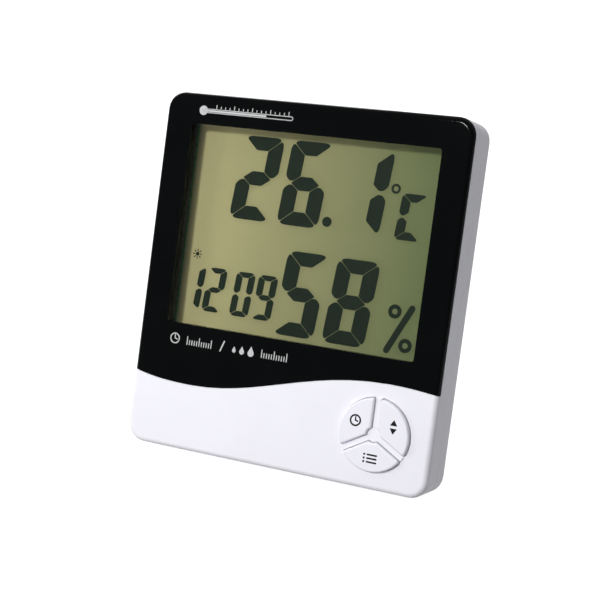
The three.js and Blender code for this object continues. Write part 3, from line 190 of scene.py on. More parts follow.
def circle(centre, radius, sides=CIRCLE_SIDES):
    turns = [2 * math.pi * i / sides for i in range(sides)]
    return [Vector((centre.x + radius * math.cos(a), centre.y + radius * math.sin(a))) for a in turns]


def ring(centre, outer, inner):
    return circle(centre, outer), circle(centre, inner)


def stroke(start, end, width, steps=STROKE_STEPS):
    """A straight stroke with round ends."""
    along = (end - start).normalized()
    turn = math.atan2(along.y, along.x)
    points = []
    for centre, first in ((end, turn - math.pi / 2), (start, turn + math.pi / 2)):
        for step in range(steps + 1):
            points.append(centre + polar(first + math.pi * step / steps, width / 2))
    return points


def drop(centre, radius):
    """A water drop: a round belly, and a tip DROP_TIP times as far above the middle."""
    lean = math.acos(1 / DROP_TIP)
    first = math.pi / 2 + lean
    last = 5 * math.pi / 2 - lean
    belly = [first + (last - first) * i / DROP_STEPS for i in range(DROP_STEPS + 1)]
    return [*[centre + polar(a, radius) for a in belly], centre + Vector((0, DROP_TIP * radius))]


def ticks(start, end, count, length, every, longer, width):
    """A row of upright ticks from start to end, the longer ones at each so many."""
    out = []
    for i in range(count):
        foot = start.lerp(end, i / (count - 1))
        head = foot + Vector((0, longer if i % every == 0 else length))
        out.append(stroke(foot, head, width, FINE_STROKE_STEPS))
    return out


# Meshes: edges that turn more than SHARP stay sharp, and faces that turn less than FLAT join
SHARP = math.radians(38)
FLAT = math.radians(0.5)
WELD = 1e-7
BEVEL_SEGMENTS = 2
TURNED_SIDES = 40


def add_outline(bm, outline, depth):
    return [bm.verts.new((p.x, depth, p.y)) for p in outline]


def add_prism(bm, outline, front, back):
    near, far = (add_outline(bm, outline, depth) for depth in (front, back))
    count = len(outline)
    bm.faces.new(near)
    bm.faces.new(list(reversed(far)))
    for i in range(count):
        j = (i + 1) % count
        bm.faces.new((near[i], far[i], far[j], near[j]))


def add_band(bm, outer, inner, front, back):
    """The solid between two closed outlines with as many points each."""
    edges = ((outer, front), (outer, back), (inner, back), (inner, front))
    loops = [add_outline(bm, outline, depth) for outline, depth in edges]
    count = len(outer)
    for k, loop in enumerate(loops):
        following = loops[(k + 1) % len(loops)]
        for i in range(count):
            j = (i + 1) % count
            bm.faces.new((loop[i], following[i], following[j], loop[j]))


def add_holed_plate(bm, outer, holes, front, back):
    """A plate between two depths; each hole is a pair of outlines, at its front and at its back."""
    fronts, backs = zip((outer, outer), *holes)
    rings = [
        [add_outline(bm, outline, front) for outline in fronts],
        [add_outline(bm, outline, back) for outline in backs],
    ]
    for loops in rings:
        edges = [bm.edges.new((loop[i - 1], loop[i])) for loop in loops for i in range(len(loop))]
        bmesh.ops.triangle_fill(bm, edges=edges, use_beauty=True, normal=(0, 1, 0))
    for near, far in zip(*rings):
        for i in range(len(near)):
            bm.faces.new((near[i - 1], near[i], far[i], far[i - 1]))


def add_turned(bm, centre, profile):
    """The solid of a profile of radius and depth pairs, which starts and ends on the axis."""
    rings = []
    for radius, depth in profile:
        if radius:
            rings.append(add_outline(bm, circle(centre, radius, TURNED_SIDES), depth))
        else:
            rings.append(add_outline(bm, [centre], depth) * TURNED_SIDES)
    for near, far in zip(rings, rings[1:]):
        for i in range(TURNED_SIDES):
            bm.faces.new(list(dict.fromkeys((near[i - 1], near[i], far[i], far[i - 1]))))


def set_shading(bm, smooth):
    for face in bm.faces:
        face.smooth = smooth
    for edge in bm.edges:
        edge.smooth = edge.calc_face_angle(0) < SHARP


def show(piece, body, slot):
    """Puts a piece into the scene, on its body if it is given one."""
    bpy.context.scene.collection.objects.link(piece)
    piece.data.materials.clear()
    piece.data.materials.append(MATERIALS[slot])
    if body:
        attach(piece, body)
    return piece


def finish_mesh(bm, name, body, slot, smooth=False):
    """An object in the row's frame from a mesh in the case's frame."""
    bmesh.ops.recalc_face_normals(bm, faces=bm.faces)
    bmesh.ops.transform(bm, matrix=CASE, verts=bm.verts)
    set_shading(bm, smooth)
    mesh = bpy.data.meshes.new(name)
    bm.to_mesh(mesh)
    bm.free()
    return show(bpy.data.objects.new(name, mesh), body, slot)


def soften_edges(piece, width):
    soft = piece.modifiers.new("soft edges", "BEVEL")
    soft.width = width * MM
    soft.segments = BEVEL_SEGMENTS
    soft.limit_method = "ANGLE"
    soft.angle_limit = SHARP
    soft.use_clamp_overlap = True
    soft.harden_normals = False


def refined(node, slot, edge_width):
    """A copy of a CAD node with softened edges and smooth curves, which stands for it."""
    source = frame["nodes"][node]
    mesh = source.data.copy()
    bm = bmesh.new()
    bm.from_mesh(mesh)
    bmesh.ops.remove_doubles(bm, verts=bm.verts, dist=WELD)
    bmesh.ops.dissolve_limit(bm, angle_limit=FLAT, verts=bm.verts, edges=bm.edges)
    set_shading(bm, True)
    bm.to_mesh(mesh)
    bm.free()
    if mesh.has_custom_normals:
        mesh.normals_split_custom_set([(0, 0, 0)] * len(mesh.loops))
    piece = bpy.data.objects.new(node + "_finished", mesh)
    if edge_width:
        soften_edges(piece, edge_width)
    piece.modifiers.new("flat faces stay flat", "WEIGHTED_NORMAL").keep_sharp = True
    show(piece, source["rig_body"], slot)
    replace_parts(piece, node)


# Materials
WHITE = (1, 1, 1, 1)
BLACK = (0, 0, 0, 1)

# Most of a noise pattern lies between these values
NOISE_LOW = 0.3
NOISE_HIGH = 0.7

# Sockets of the Mix node when it mixes colours
MIX_FACTOR = 0
MIX_A = 6
MIX_B = 7
MIX_RESULT = 2


def shade(colour, by):
    return (*[min(1, c * by) for c in colour[:3]], 1)


class Nodes:
    """A node tree, with short ways to add to it."""

    def __init__(self, tree, coordinates):
        self.tree = tree
        self.place = self.add("TexCoord").outputs[coordinates]

    def put(self, socket, value):
        if isinstance(value, bpy.types.NodeSocket):
            self.tree.links.new(value, socket)
        else:
            socket.default_value = value

    def add(self, kind, inputs=(), **settings):
        node = self.tree.nodes.new("ShaderNode" + kind)
        for name, value in settings.items():
            setattr(node, name, value)
        for socket, value in dict(inputs).items():
            self.put(node.inputs[socket], value)
        return node

    def along(self, axis):
        return self.add("SeparateXYZ", {"Vector": self.place}).outputs[axis]

    def noise(self, scale, detail=2, stretch=(1, 1, 1)):
        place = self.add("Mapping", {"Vector": self.place, "Scale": stretch}).outputs[0]
        return self.add("TexNoise", {"Vector": place, "Scale": scale, "Detail": detail}).outputs["Fac"]

    def span(self, value, low, high, start=NOISE_LOW, end=NOISE_HIGH):
        """Low where a value is at its start, high where it is at its end."""
        inputs = {"Value": value, "From Min": start, "From Max": end, "To Min": low, "To Max": high}
        return self.add("MapRange", inputs).outputs["Result"]

    def varied(self, pattern, value, less, more):
        """A value that a noise varies between two multiples of it."""
        return self.span(pattern, value * less, value * more)

    def math(self, operation, a, b=0.0):
        return self.add("Math", {0: a, 1: b}, operation=operation).outputs[0]

    def mix(self, factor, a, b, blend="MIX"):
        inputs = {MIX_FACTOR: factor, MIX_A: a, MIX_B: b}
        return self.add("Mix", inputs, data_type="RGBA", blend_type=blend).outputs[MIX_RESULT]

    def blotched(self, pattern, dark, light):
        """A colour that a noise varies between two others."""
        return self.mix(self.span(pattern, 0, 1), dark, light)

    def bump(self, height, distance):
        return self.add("Bump", {"Height": height, "Distance": distance}).outputs["Normal"]


class Look(Nodes):
    """A material, principled unless wear() gives its surface another shader."""

    def __init__(self, slot, **sockets):
        self.slot = slot
        self.material = bpy.data.materials.new(slot)
        self.material.use_nodes = True
        super().__init__(self.material.node_tree, "Object")
        self.principled = self.tree.nodes["Principled BSDF"]
        self.use(**sockets)

    def use(self, **sockets):
        for name, value in sockets.items():
            self.put(self.principled.inputs[name.replace("_", " ")], value)
        return self

    def wear(self, shader):
        self.tree.nodes.remove(self.principled)
        output = next(node for node in self.tree.nodes if node.type == "OUTPUT_MATERIAL")
        self.tree.links.new(shader.outputs[0], output.inputs["Surface"])
        return self


def moulded(slot, colour, roughness, grain=3500, depth=3e-6, tone=0.02, **sockets):
    """Moulded plastic, rubber and the like: a fine grain, and faint clouds in colour and gloss."""
    look = Look(slot, **sockets)
    clouds = look.noise(scale=70, detail=3)
    fine = look.noise(scale=900)
    return look.use(
        Base_Color=look.blotched(clouds, shade(colour, 1 - tone), shade(colour, 1 + tone)),
        Roughness=look.varied(fine, roughness, less=0.88, more=1.12),
        Normal=look.bump(look.noise(scale=grain), depth),
    )


def metal(slot, colour, roughness):
    """Drawn or plated metal with fine level lines."""
    look = Look(slot, Metallic=1.0)
    lines = look.noise(scale=2500, detail=3, stretch=(1, 1, 12))
    clouds = look.noise(scale=220, detail=3)
    return look.use(
        Base_Color=look.blotched(clouds, shade(colour, by=0.9), shade(colour, by=1.06)),
        Roughness=look.varied(lines, roughness, less=0.75, more=1.3),
        Normal=look.bump(lines, distance=2e-6),
    )


def clear_sheet(slot, tint, roughness, ior):
    """A clear sheet that lets lamps through: a see-through shader with a mirror's share on top."""
    look = Look(slot)
    colour = look.mix(look.noise(scale=60), shade(tint, by=0.99), tint)
    through = look.add("BsdfTransparent", {"Color": colour})
    rough = look.varied(look.noise(scale=500), roughness, less=0.8, more=1.2)
    gloss = look.add("BsdfGlossy", {"Color": WHITE, "Roughness": rough})
    fresnel = look.add("Fresnel", {"IOR": ior}).outputs[0]
    outside = look.math("SUBTRACT", 1.0, look.add("NewGeometry").outputs["Backfacing"])
    share = look.math("MULTIPLY", fresnel, outside)
    return look.wear(look.add("MixShader", {0: share, 1: through.outputs[0], 2: gloss.outputs[0]}))


def ink_material(name, colour, **sockets):
    """Printed ink with a faintly mottled coat."""
    look = Look(name, **sockets)
    clouds = look.noise(scale=2500, detail=3)
    tone = look.blotched(clouds, shade(colour, by=0.88), shade(colour, by=1.05))
    return look.use(Base_Color=tone, Roughness=look.span(clouds, low=0.4, high=0.6)).material


# The film behind the cell, with the places along X where its colours begin and end. Its olive tint
# is its own. It is painted lighter and warmer at the left and darker and greener at the right,
# which is painted light for how the lamps and the viewing angle make it look. Its left edge has a
# painted shade.
FILM_WARM_PAINTED_LIGHT = (0.62, 0.545, 0.34, 1)
FILM_GREEN_PAINTED_SHADE = (0.17, 0.213, 0.111, 1)
FILM_LEFT = -0.042
FILM_RIGHT = 0.044
# A painted shade along the film's left edge, where the frame shades it, and where it is full and where
# it ends
FILM_PAINTED_SHADE = (0.16, 0.17, 0.13, 1)
PAINTED_SHADE_FULL = -0.0408
PAINTED_SHADE_END = -0.0386
PEARL_GREY = (0.93, 0.93, 0.93, 1)


def reflector_look():
    """Pearly film behind the cell, with painted light and shade: lit and warm at the left, shaded
    and green at the right, and a painted shade along its left edge.
    """
    look = Look("reflector_film", Specular_IOR_Level=0.1)
    x = look.along("X")
    # Painted light: the tint runs from lit and warm at the left to shaded and green at the right
    tone = look.mix(look.span(x, 0, 1, FILM_LEFT, FILM_RIGHT), FILM_WARM_PAINTED_LIGHT, FILM_GREEN_PAINTED_SHADE)
    # Painted shade: darker along the left edge, where the frame's shadow falls on the film
    tone = look.mix(look.span(x, 1, 0, PAINTED_SHADE_FULL, PAINTED_SHADE_END), tone, FILM_PAINTED_SHADE)
    speckle = look.noise(scale=4000)
    colour = look.mix(1.0, tone, look.blotched(speckle, PEARL_GREY, WHITE), "MULTIPLY")
    return look.use(Base_Color=colour, Roughness=look.span(speckle, low=0.5, high=0.65))


# The board's solder mask, and the grid of its tracks
MASK_DARK = (0.008, 0.075, 0.03, 1)
MASK_PALE = (0.012, 0.1, 0.04, 1)
MASK_OVER_TRACKS = (0.03, 0.19, 0.07, 1)
TRACKS = {"Scale": 420, "Mortar Size": 0.018, "Color1": BLACK, "Color2": BLACK, "Mortar": WHITE}


def board_look():
    """Solder mask over copper tracks, which show as a paler, raised pattern."""
    look = Look("board_laminate", Coat_Weight=0.3)
    tracks = look.add("TexBrick", {"Vector": look.place, **TRACKS}).outputs["Fac"]
    clouds = look.noise(scale=500)
    return look.use(
        Base_Color=look.mix(tracks, look.blotched(clouds, MASK_DARK, MASK_PALE), MASK_OVER_TRACKS),
        Roughness=look.span(clouds, low=0.3, high=0.45),
        Normal=look.bump(tracks, distance=3e-5),
    )


# The battery's foil, with the place along X where its gold band begins
FOIL_GREENS = ((0.02, 0.11, 0.065, 1), (0.03, 0.15, 0.09, 1))
FOIL_GOLDS = ((0.55, 0.38, 0.12, 1), (0.68, 0.5, 0.2, 1))
FOIL_BAND = -0.003


def battery_look():
    """Foil label: dark green, and gold towards the end that has the nub."""
    look = Look("battery_wrap", Metallic=0.4)
    band = look.math("GREATER_THAN", look.along("X"), FOIL_BAND)
    lines = look.noise(scale=1800, stretch=(1, 14, 14))
    colour = look.mix(band, look.blotched(lines, *FOIL_GREENS), look.blotched(lines, *FOIL_GOLDS))
    return look.use(Base_Color=colour, Roughness=look.span(lines, low=0.25, high=0.4))


GLOSSY_BLACK = (0.0035, 0.004, 0.0042)
LOOKS = (
    moulded("white_shell", (0.84, 0.83, 0.885), roughness=0.42, tone=0.012, Specular_IOR_Level=0.3),
    moulded("white_key", (0.84, 0.83, 0.9), roughness=0.36, tone=0.012),
    moulded(
        "black_bezel",
        GLOSSY_BLACK,
        roughness=0.045,
        grain=3000,
        depth=3e-8,
        tone=0.1,
        Specular_IOR_Level=0.07,
    ),
    moulded("carbon_rubber", (0.01, 0.01, 0.011), roughness=0.8, grain=2500, depth=1e-5, tone=0.15),
    moulded("silicone_rubber", (0.48, 0.49, 0.5), roughness=0.7, grain=2000, depth=5e-6, tone=0.04),
    moulded("black_foam", (0.012, 0.012, 0.012), roughness=0.9, grain=1800, depth=3e-5, tone=0.2),
    moulded("black_epoxy", (0.008, 0.008, 0.009), roughness=0.35, grain=1500, depth=8e-6, tone=0.1),
    moulded("sensor_blue", (0.05, 0.19, 0.46), roughness=0.5, grain=2500, depth=4e-6, tone=0.05),
    moulded("red_wire", (0.45, 0.02, 0.015), roughness=0.42, grain=1500, depth=3e-6, tone=0.06),
    moulded("black_wire", (0.012, 0.012, 0.013), roughness=0.42, grain=1500, depth=3e-6, tone=0.1),
    moulded("sounder_ceramic", (0.7, 0.68, 0.63), roughness=0.5, grain=3000, depth=4e-6, tone=0.05),
    metal("bright_steel", (0.6, 0.61, 0.63), roughness=0.28),
    metal("capacitor_can", (0.68, 0.69, 0.71), roughness=0.25),
    metal("sounder_brass", (0.62, 0.42, 0.12), roughness=0.32),
    clear_sheet("clear_lens", (0.98, 0.985, 0.98, 1), roughness=0.03, ior=1.49),
    clear_sheet("polariser_film", (0.97, 0.97, 0.93, 1), roughness=0.12, ior=1.06),
    clear_sheet("display_glass", (0.985, 0.99, 0.985, 1), roughness=0.03, ior=1.06),
    reflector_look(),
    board_look(),
    battery_look(),
)
MATERIALS = {look.slot: look.material for look in LOOKS}

# Inks, and the node that each lies in or on
SEGMENT_INK = ink_material("segment_dark", (0.02, 0.031, 0.026), Specular_IOR_Level=0.05)
WHITE_INK = ink_material("white_ink", (0.52, 0.53, 0.53))
BLACK_INK = ink_material("black_ink", (0.006, 0.006, 0.007), Specular_IOR_Level=0.1)
MARKED = {SEGMENT_INK: "front_glass", WHITE_INK: "front_bezel", BLACK_INK: "key_left"}

# CAD nodes: finer copies where edges and curves show, better materials everywhere
SLOTS = {part["node"]: part["material_slot"] for part in frame["record"]["subparts"]}
SMALL_EDGE = 0.08
SMALL_PARTS = [node for node in frame["nodes"] if "screw" in node or "pill" in node]

# How wide the softened edges are; at 0 only the curves are smoothed
SOFT_EDGES = {
    "front_case": 0.15,
    "front_bezel": 0.15,
    "back_cover": 0.15,
    "battery_door": 0.15,
    "stand_foot": 0.2,
    "key_left": 0.1,
    "key_right": 0.1,
    "key_bottom": 0.1,
    "unit_button": 0.15,
    "chip_blob": 0.0,
    "crystal": 0.15,
    "tall_capacitor": 0.15,
    "humidity_sensor": 0.1,
    "thermistor": 0.0,
    "unit_plunger": 0.1,
    "reset_plunger": 0.1,
    "sounder_disc": 0.0,
    "sounder_ceramic": 0.0,
    "sounder_wire_red": 0.0,
    "sounder_wire_black": 0.0,
    "battery": 0.3,
    "battery_spring": 0.0,
    "battery_wire_red": 0.0,
    "battery_wire_black": 0.0,
    **dict.fromkeys(SMALL_PARTS, SMALL_EDGE),
}


def dress(node, slot):
    """Gives a node's material to a finer copy of it, or else to the node itself."""
    if node in SOFT_EDGES:
        refined(node, slot, SOFT_EDGES[node])
        return
    piece = frame["nodes"][node]
    if not piece.material_slots:
        piece.data.materials.append(None)
    for place in piece.material_slots:
        place.material = MATERIALS[slot]


for node, slot in SLOTS.items():
    dress(node, slot)

# Rubber mat under the keys, which stands for the CAD's one solid. Its domes are put on no body,
# and the cores in them move with the keys.
KEY_CENTRE = Vector((31.7, 16))
KEY_TURNS = {"right": math.radians(30), "left": math.radians(150), "bottom": math.radians(270)}
DOME_FROM_HUB = 6.3
MAT_RADIUS = 10.5
MAT_SIDES = 80
MAT_FRONT = 7.2
MAT_BACK = 8.3
HOLE_FRONT_RADIUS = 2.76
HOLE_BACK_RADIUS = 3.2
DOME_FRONT = 4.9
DOME_ROOF_BACK = 5.8
DOME_FOOT_DEPTH = 7.25
DOME_TOP_RADIUS = 2.6
DOME_FOOT_RADIUS = 3.42
DOME_HOLLOW_RADIUS = 2.2
DOME_ROUND = 0.25
ROUND_STEPS = 4
SKIRT_STEPS = 6
CORE_RADIUS = 1.5
CORE_FRONT = 5.75
CORE_BACK = 7.2
CORE_ROUND = 0.1


def from_hub(turn, reach):
    return KEY_CENTRE + polar(turn, reach)


def between(start, end, steps):
    return [tuple(a + (b - a) * i / steps for a, b in zip(start, end)) for i in range(steps + 1)]


def dome_profile():
    """From the middle of the roof, round the foot, and back to the middle of the hollow."""
    rim = []
    for i in range(ROUND_STEPS + 1):
        turn = math.pi / 2 * i / ROUND_STEPS
        radius = DOME_TOP_RADIUS - DOME_ROUND * (1 - math.sin(turn))
        rim.append((radius, DOME_FRONT + DOME_ROUND * (1 - math.cos(turn))))
    outside = between(rim.pop(), (DOME_FOOT_RADIUS, DOME_FOOT_DEPTH), SKIRT_STEPS)
    foot = (HOLE_FRONT_RADIUS, DOME_FOOT_DEPTH)
    inside = between(foot, (DOME_HOLLOW_RADIUS, DOME_ROOF_BACK), SKIRT_STEPS)
    return [(0, DOME_FRONT), *rim, *outside, *inside, (0, DOME_ROOF_BACK)]


def hole_in_mat(centre):
    return tuple(circle(centre, r, TURNED_SIDES) for r in (HOLE_FRONT_RADIUS, HOLE_BACK_RADIUS))


def keypad_sheet():
    bm = bmesh.new()
    holes = [hole_in_mat(from_hub(turn, DOME_FROM_HUB)) for turn in KEY_TURNS.values()]
    add_holed_plate(bm, circle(KEY_CENTRE, MAT_RADIUS, MAT_SIDES), holes, MAT_FRONT, MAT_BACK)
    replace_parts(finish_mesh(bm, "keypad_sheet", "case", "silicone_rubber", smooth=True), "keypad_mat")


def keypad_dome(side, centre):
    """A dome, baked in place and put on no body."""
    bm = bmesh.new()
    add_turned(bm, centre, dome_profile())
    dome = finish_mesh(bm, f"keypad_dome_{side}", None, "silicone_rubber", smooth=True)
    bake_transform(dome)
    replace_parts(dome, "keypad_mat")


def keypad_core(side, centre):
    """The plug in a dome; the key's contact pill stands just behind it."""
    bm = bmesh.new()
    front = [(0, CORE_FRONT), (CORE_RADIUS, CORE_FRONT)]
    rounded_end = [(CORE_RADIUS, CORE_BACK - CORE_ROUND), (CORE_RADIUS - CORE_ROUND, CORE_BACK)]
    add_turned(bm, centre, [*front, *rounded_end, (0, CORE_BACK)])
    finish_mesh(bm, f"keypad_core_{side}", f"key_{side}", "silicone_rubber", smooth=True)


keypad_sheet()
for side, turn in KEY_TURNS.items():
    keypad_dome(side, from_hub(turn, DOME_FROM_HUB))
    keypad_core(side, from_hub(turn, DOME_FROM_HUB))

# Places on the display: millimetres from the case's left and top edges, taken on a plane behind
# the face, and spread to the depth of the liquid crystal as the camera sees it
MEASURED_DEPTH = 4
CRYSTAL_FRONT = 6.02
CRYSTAL_BACK = 6.08
CAMERA_IN_CASE = Vector((159.52, -356.49, 72.81))
SPREAD = (CRYSTAL_FRONT - MEASURED_DEPTH) / (MEASURED_DEPTH - CAMERA_IN_CASE.y)

# Figures of seven segments. Across is the width of an upright segment and up the height of a
# level one, and bend is how far the outer corners are cut. The shares are of those three.
SLANT = math.tan(math.radians(4.8))
NOTCH_OF_UP = 0.12
SOFT_OF_UP = 0.08
TIP_OF_ACROSS = 0.42
INNER_OF_ACROSS = 0.57
CUT_OF_ACROSS = 0.3
SPLIT_OF_BEND = 0.35
DIGITS = {
    "0": "ABCDEF",
    "1": "BC",
    "2": "ABGED",
    "5": "AFGCD",
    "6": "AFGCDE",
    "8": "ABCDEFG",
    "9": "ABCDFG",
    "C": "AFED",
}


def screen(left, top):
    """A place on the display, in the case's frame."""
    x, z = left - HALF_WIDTH, CASE_HEIGHT - top
    return Vector((x + SPREAD * (x - CAMERA_IN_CASE.x), z + SPREAD * (z - CAMERA_IN_CASE.z)))


def corners(*places):
    return [Vector(place) for place in places]


def top_segment(width, height, across, up, bend):
    split = SPLIT_OF_BEND * bend
    return corners(
        (width - split, height - split),
        (width - bend, height),
        (bend, height),
        (split, height - split),
        (across, height - up),
        (width - across, height - up),
    )


def upper_left_segment(height, across, up, bend):
    split = SPLIT_OF_BEND * bend
    foot = height / 2 + NOTCH_OF_UP * up
    cut = CUT_OF_ACROSS * across
    return corners(
        (split, height - split),
        (0, height - bend),
        (0, foot + cut),
        (cut, foot),
        (INNER_OF_ACROSS * across, foot),
        (across, height / 2 + up / 2),
        (across, height - up),
    )


def middle_segment(width, height, across, up):
    middle = height / 2
    tip = TIP_OF_ACROSS * across
    return corners(
        (tip, middle),
        (across, middle - up / 2),
        (width - across, middle - up / 2),
        (width - tip, middle),
        (width - across, middle + up / 2),
        (across, middle + up / 2),
    )


def half_turned(points, width, height):
    return [Vector((width - p.x, height - p.y)) for p in points]


def mirrored(points, width):
    return [Vector((width - p.x, p.y)) for p in reversed(points)]


def segment_outlines(width, height, across, up, bend):
    """The seven segments of an upright digit, counterclockwise, with each corner's rounding."""
    top = top_segment(width, height, across, up, bend)
    middle = middle_segment(width, height, across, up)
    upper_left = upper_left_segment(height, across, up, bend)
    lower_right = half_turned(upper_left, width, height)
    soft = SOFT_OF_UP * up
    ends = [bend / 2] * 4 + [soft] * 2
    side = [bend / 2] * 2 + [CUT_OF_ACROSS * across / 2] * 2 + [soft] * 3
    return {
        "A": (top, ends),
        "B": (mirrored(upper_left, width), side[::-1]),
        "C": (lower_right, side),
        "D": (half_turned(top, width, height), ends),
        "E": (mirrored(lower_right, width), side[::-1]),
        "F": (upper_left, side),
        "G": (middle, [soft] * len(middle)),
    }


def digit(figure, left, foot, gap, **size):
    """A figure's slanted segments, with its lower left corner at a place of the display."""
    outlines = segment_outlines(**size)
    shapes = []
    for name in DIGITS[figure]:
        points, radii = outlines[name]
        points = rounded(inset(points, gap / 2), radii)
        shapes.append([screen(left + p.x + SLANT * p.y, foot - p.y) for p in points])
    return shapes


def digits(figures, lefts, foot, size):
    """A row of figures, each with its own left corner."""
    return [shape for figure, left in zip(figures, lefts) for shape in digit(figure, left, foot, **size)]


def add_marks(name, body, ink, shapes, front, back):
    """Flat marks between two depths; each shape is an outline, or a pair of them for a band."""
    bm = bmesh.new()
    for shape in shapes:
        if isinstance(shape, tuple):
            add_band(bm, *shape, front, back)
        else:
            add_prism(bm, shape, front, back)
    piece = finish_mesh(bm, name, body, SLOTS[MARKED[ink]])
    piece.data.materials[0] = ink
    return piece


def show_segments(name, shapes):
    piece = add_marks(name, "case", SEGMENT_INK, shapes, CRYSTAL_FRONT, CRYSTAL_BACK)
    piece.visible_shadow = False


# What the display shows
BIG = {"width": 13.5, "height": 25.3, "across": 4.9, "up": 4.3, "bend": 2.2, "gap": 0.12}
SMALL = {"width": 6.5, "height": 13.6, "across": 2.3, "up": 1.75, "bend": 1.3, "gap": 0.1}
UNIT = {"width": 7.8, "height": 13.5, "across": 3.0, "up": 2.5, "bend": 1.2, "gap": 0.12}
TEMPERATURE_LEFTS = (23.5, 39.4, 58.7)
TEMPERATURE_FOOT = 36.2
POINT_PLACE = (55.7, 33.7)
POINT_RADIUS = 1.5
HUMIDITY_LEFTS = (42.6, 58.7)
HUMIDITY_FOOT = 68.7
TIME_LEFTS = (10.8, 18.1, 27.6, 35.1)
TIME_FOOT = 65.4
UNIT_LEFT = 76.8
DEGREE_PLACE = (75.7, 21.8)
DEGREE_RADII = (1.45, 0.75)
PERCENT_RINGS = ((80.3, 56.6), (84.7, 65.9))
PERCENT_RADII = (2.05, 0.85)
PERCENT_ENDS = ((85.4, 55.1), (79.2, 67.9))
PERCENT_WIDTH = 1.9
SUN_PLACE = (14.6, 48.4)
SUN_DISC = 0.6
SUN_RAYS = 8
RAY_ENDS = (0.95, 1.45)
RAY_WIDTH = 0.3


def percent_sign():
    rings = [ring(screen(*place), *PERCENT_RADII) for place in PERCENT_RINGS]
    return [*rings, stroke(*[screen(*place) for place in PERCENT_ENDS], PERCENT_WIDTH)]


def sun():
    """The daytime mark: a disc with rays."""
    centre = screen(*SUN_PLACE)
    turns = [2 * math.pi * i / SUN_RAYS for i in range(SUN_RAYS)]
    rays = [[centre + polar(turn, reach) for reach in RAY_ENDS] for turn in turns]
    return [circle(centre, SUN_DISC), *[stroke(*ray, RAY_WIDTH, FINE_STROKE_STEPS) for ray in rays]]


temperature = digits("261", TEMPERATURE_LEFTS, TEMPERATURE_FOOT, BIG)
celsius = digit("C", UNIT_LEFT, TEMPERATURE_FOOT, **UNIT)
show_segments("segments_temperature", [*temperature, circle(screen(*POINT_PLACE), POINT_RADIUS)])
show_segments("segments_humidity", digits("58", HUMIDITY_LEFTS, HUMIDITY_FOOT, BIG))
show_segments("segments_time", digits("1209", TIME_LEFTS, TIME_FOOT, SMALL))
show_segments("segments_degree", [*celsius, ring(screen(*DEGREE_PLACE), *DEGREE_RADII)])
show_segments("segments_percent", percent_sign())
show_segments("segments_daytime", sun())

# Print on the bezel and the keys: plain signs where the clock has words. Those on the bezel are
# placed from the case's left and top edges, those on the keys from their own middles.
PRINT_PROUD = 0.015
PRINT_DEEP = 0.03
KEY_PROUD = 1.6
SIGN_FROM_HUB = 6.7

# The thermometer
TUBE_LINE = 5.2
TUBE_LEFT = 13.2
TUBE_RIGHT = 41.9
TUBE_WIDTHS = (1.3, 0.85)
BULB_LEFT = 12.7
BULB_RADIUS = 1.4
LEVEL_RIGHT = 33.5
LEVEL_WIDTH = 0.55
TUBE_SCALE_LINE = 4.3
TUBE_SCALE = (17.0, 41.0)
TUBE_TICKS = {"count": 17, "length": 0.5, "every": 4, "longer": 0.95, "width": 0.24}

# The clock, scale, stroke, drops and scale in a row
CLOCK_PLACE = (12.7, 74.6)
SCALE_LINE = 75.9
TIME_SCALE = (17.0, 25.2)
HUMIDITY_SCALE = (42.2, 50.4)
SCALE_TICKS = {"count": 11, "length": 1.3, "every": 5, "longer": 2.3, "width": 0.3}
SLASH_ENDS = ((28.4, 76.1), (29.5, 73.1))
SLASH_WIDTH = 0.42
DROP_LINE = 75.3
DROP_LEFTS = (33.0, 35.6, 38.6)
DROP_RADII = (0.6, 0.8, 1.0)

# The signs on the keys, and the clock's hands
BEZEL_CLOCK = {"outer": 1.65, "inner": 1.3, "hand": 0.34}
KEY_CLOCK = {"outer": 1.75, "inner": 1.25, "hand": 0.42}
HAND_ENDS = (Vector((0, 1.0)), Vector((0.75, -0.2)))
ARROW = (Vector((-1.1, 0.4)), Vector((1.1, 0.4)), Vector((0, 2.1)))
ARROW_ROUND = 0.12
LIST_PITCH = 1.05
BAR_LEFT = Vector((-0.8, 0))
BAR_RIGHT = Vector((1.9, 0))
BAR_WIDTH = 0.5
DOT_LEFT = Vector((-1.8, 0))
DOT_RADIUS = 0.32


def on_face(left, top):
    return Vector((left - HALF_WIDTH, CASE_HEIGHT - top))


def print_on_bezel(name, shapes):
    add_marks(name, "case", WHITE_INK, shapes, -PRINT_PROUD, PRINT_DEEP)


def print_on_key(side, draw):
    shapes = draw(from_hub(KEY_TURNS[side], SIGN_FROM_HUB))
    front, back = -KEY_PROUD - PRINT_PROUD, -KEY_PROUD + PRINT_DEEP
    add_marks(f"sign_key_{side}", f"key_{side}", BLACK_INK, shapes, front, back)


def bezel_scale(ends, line, style):
    return ticks(*[on_face(left, line) for left in ends], **style)


def thermometer():
    """A bulb and a tube that is filled part of the way, under a scale."""
    bulb = on_face(BULB_LEFT, TUBE_LINE)
    ends = on_face(TUBE_LEFT, TUBE_LINE), on_face(TUBE_RIGHT, TUBE_LINE)
    level = stroke(bulb, on_face(LEVEL_RIGHT, TUBE_LINE), LEVEL_WIDTH)
    tube = tuple(stroke(*ends, width) for width in TUBE_WIDTHS)
    scale = bezel_scale(TUBE_SCALE, TUBE_SCALE_LINE, TUBE_TICKS)
    return [circle(bulb, BULB_RADIUS), level, tube, *scale]


def small_clock(centre, outer, inner, hand):
    return [ring(centre, outer, inner), *[stroke(centre, centre + end, hand) for end in HAND_ENDS]]


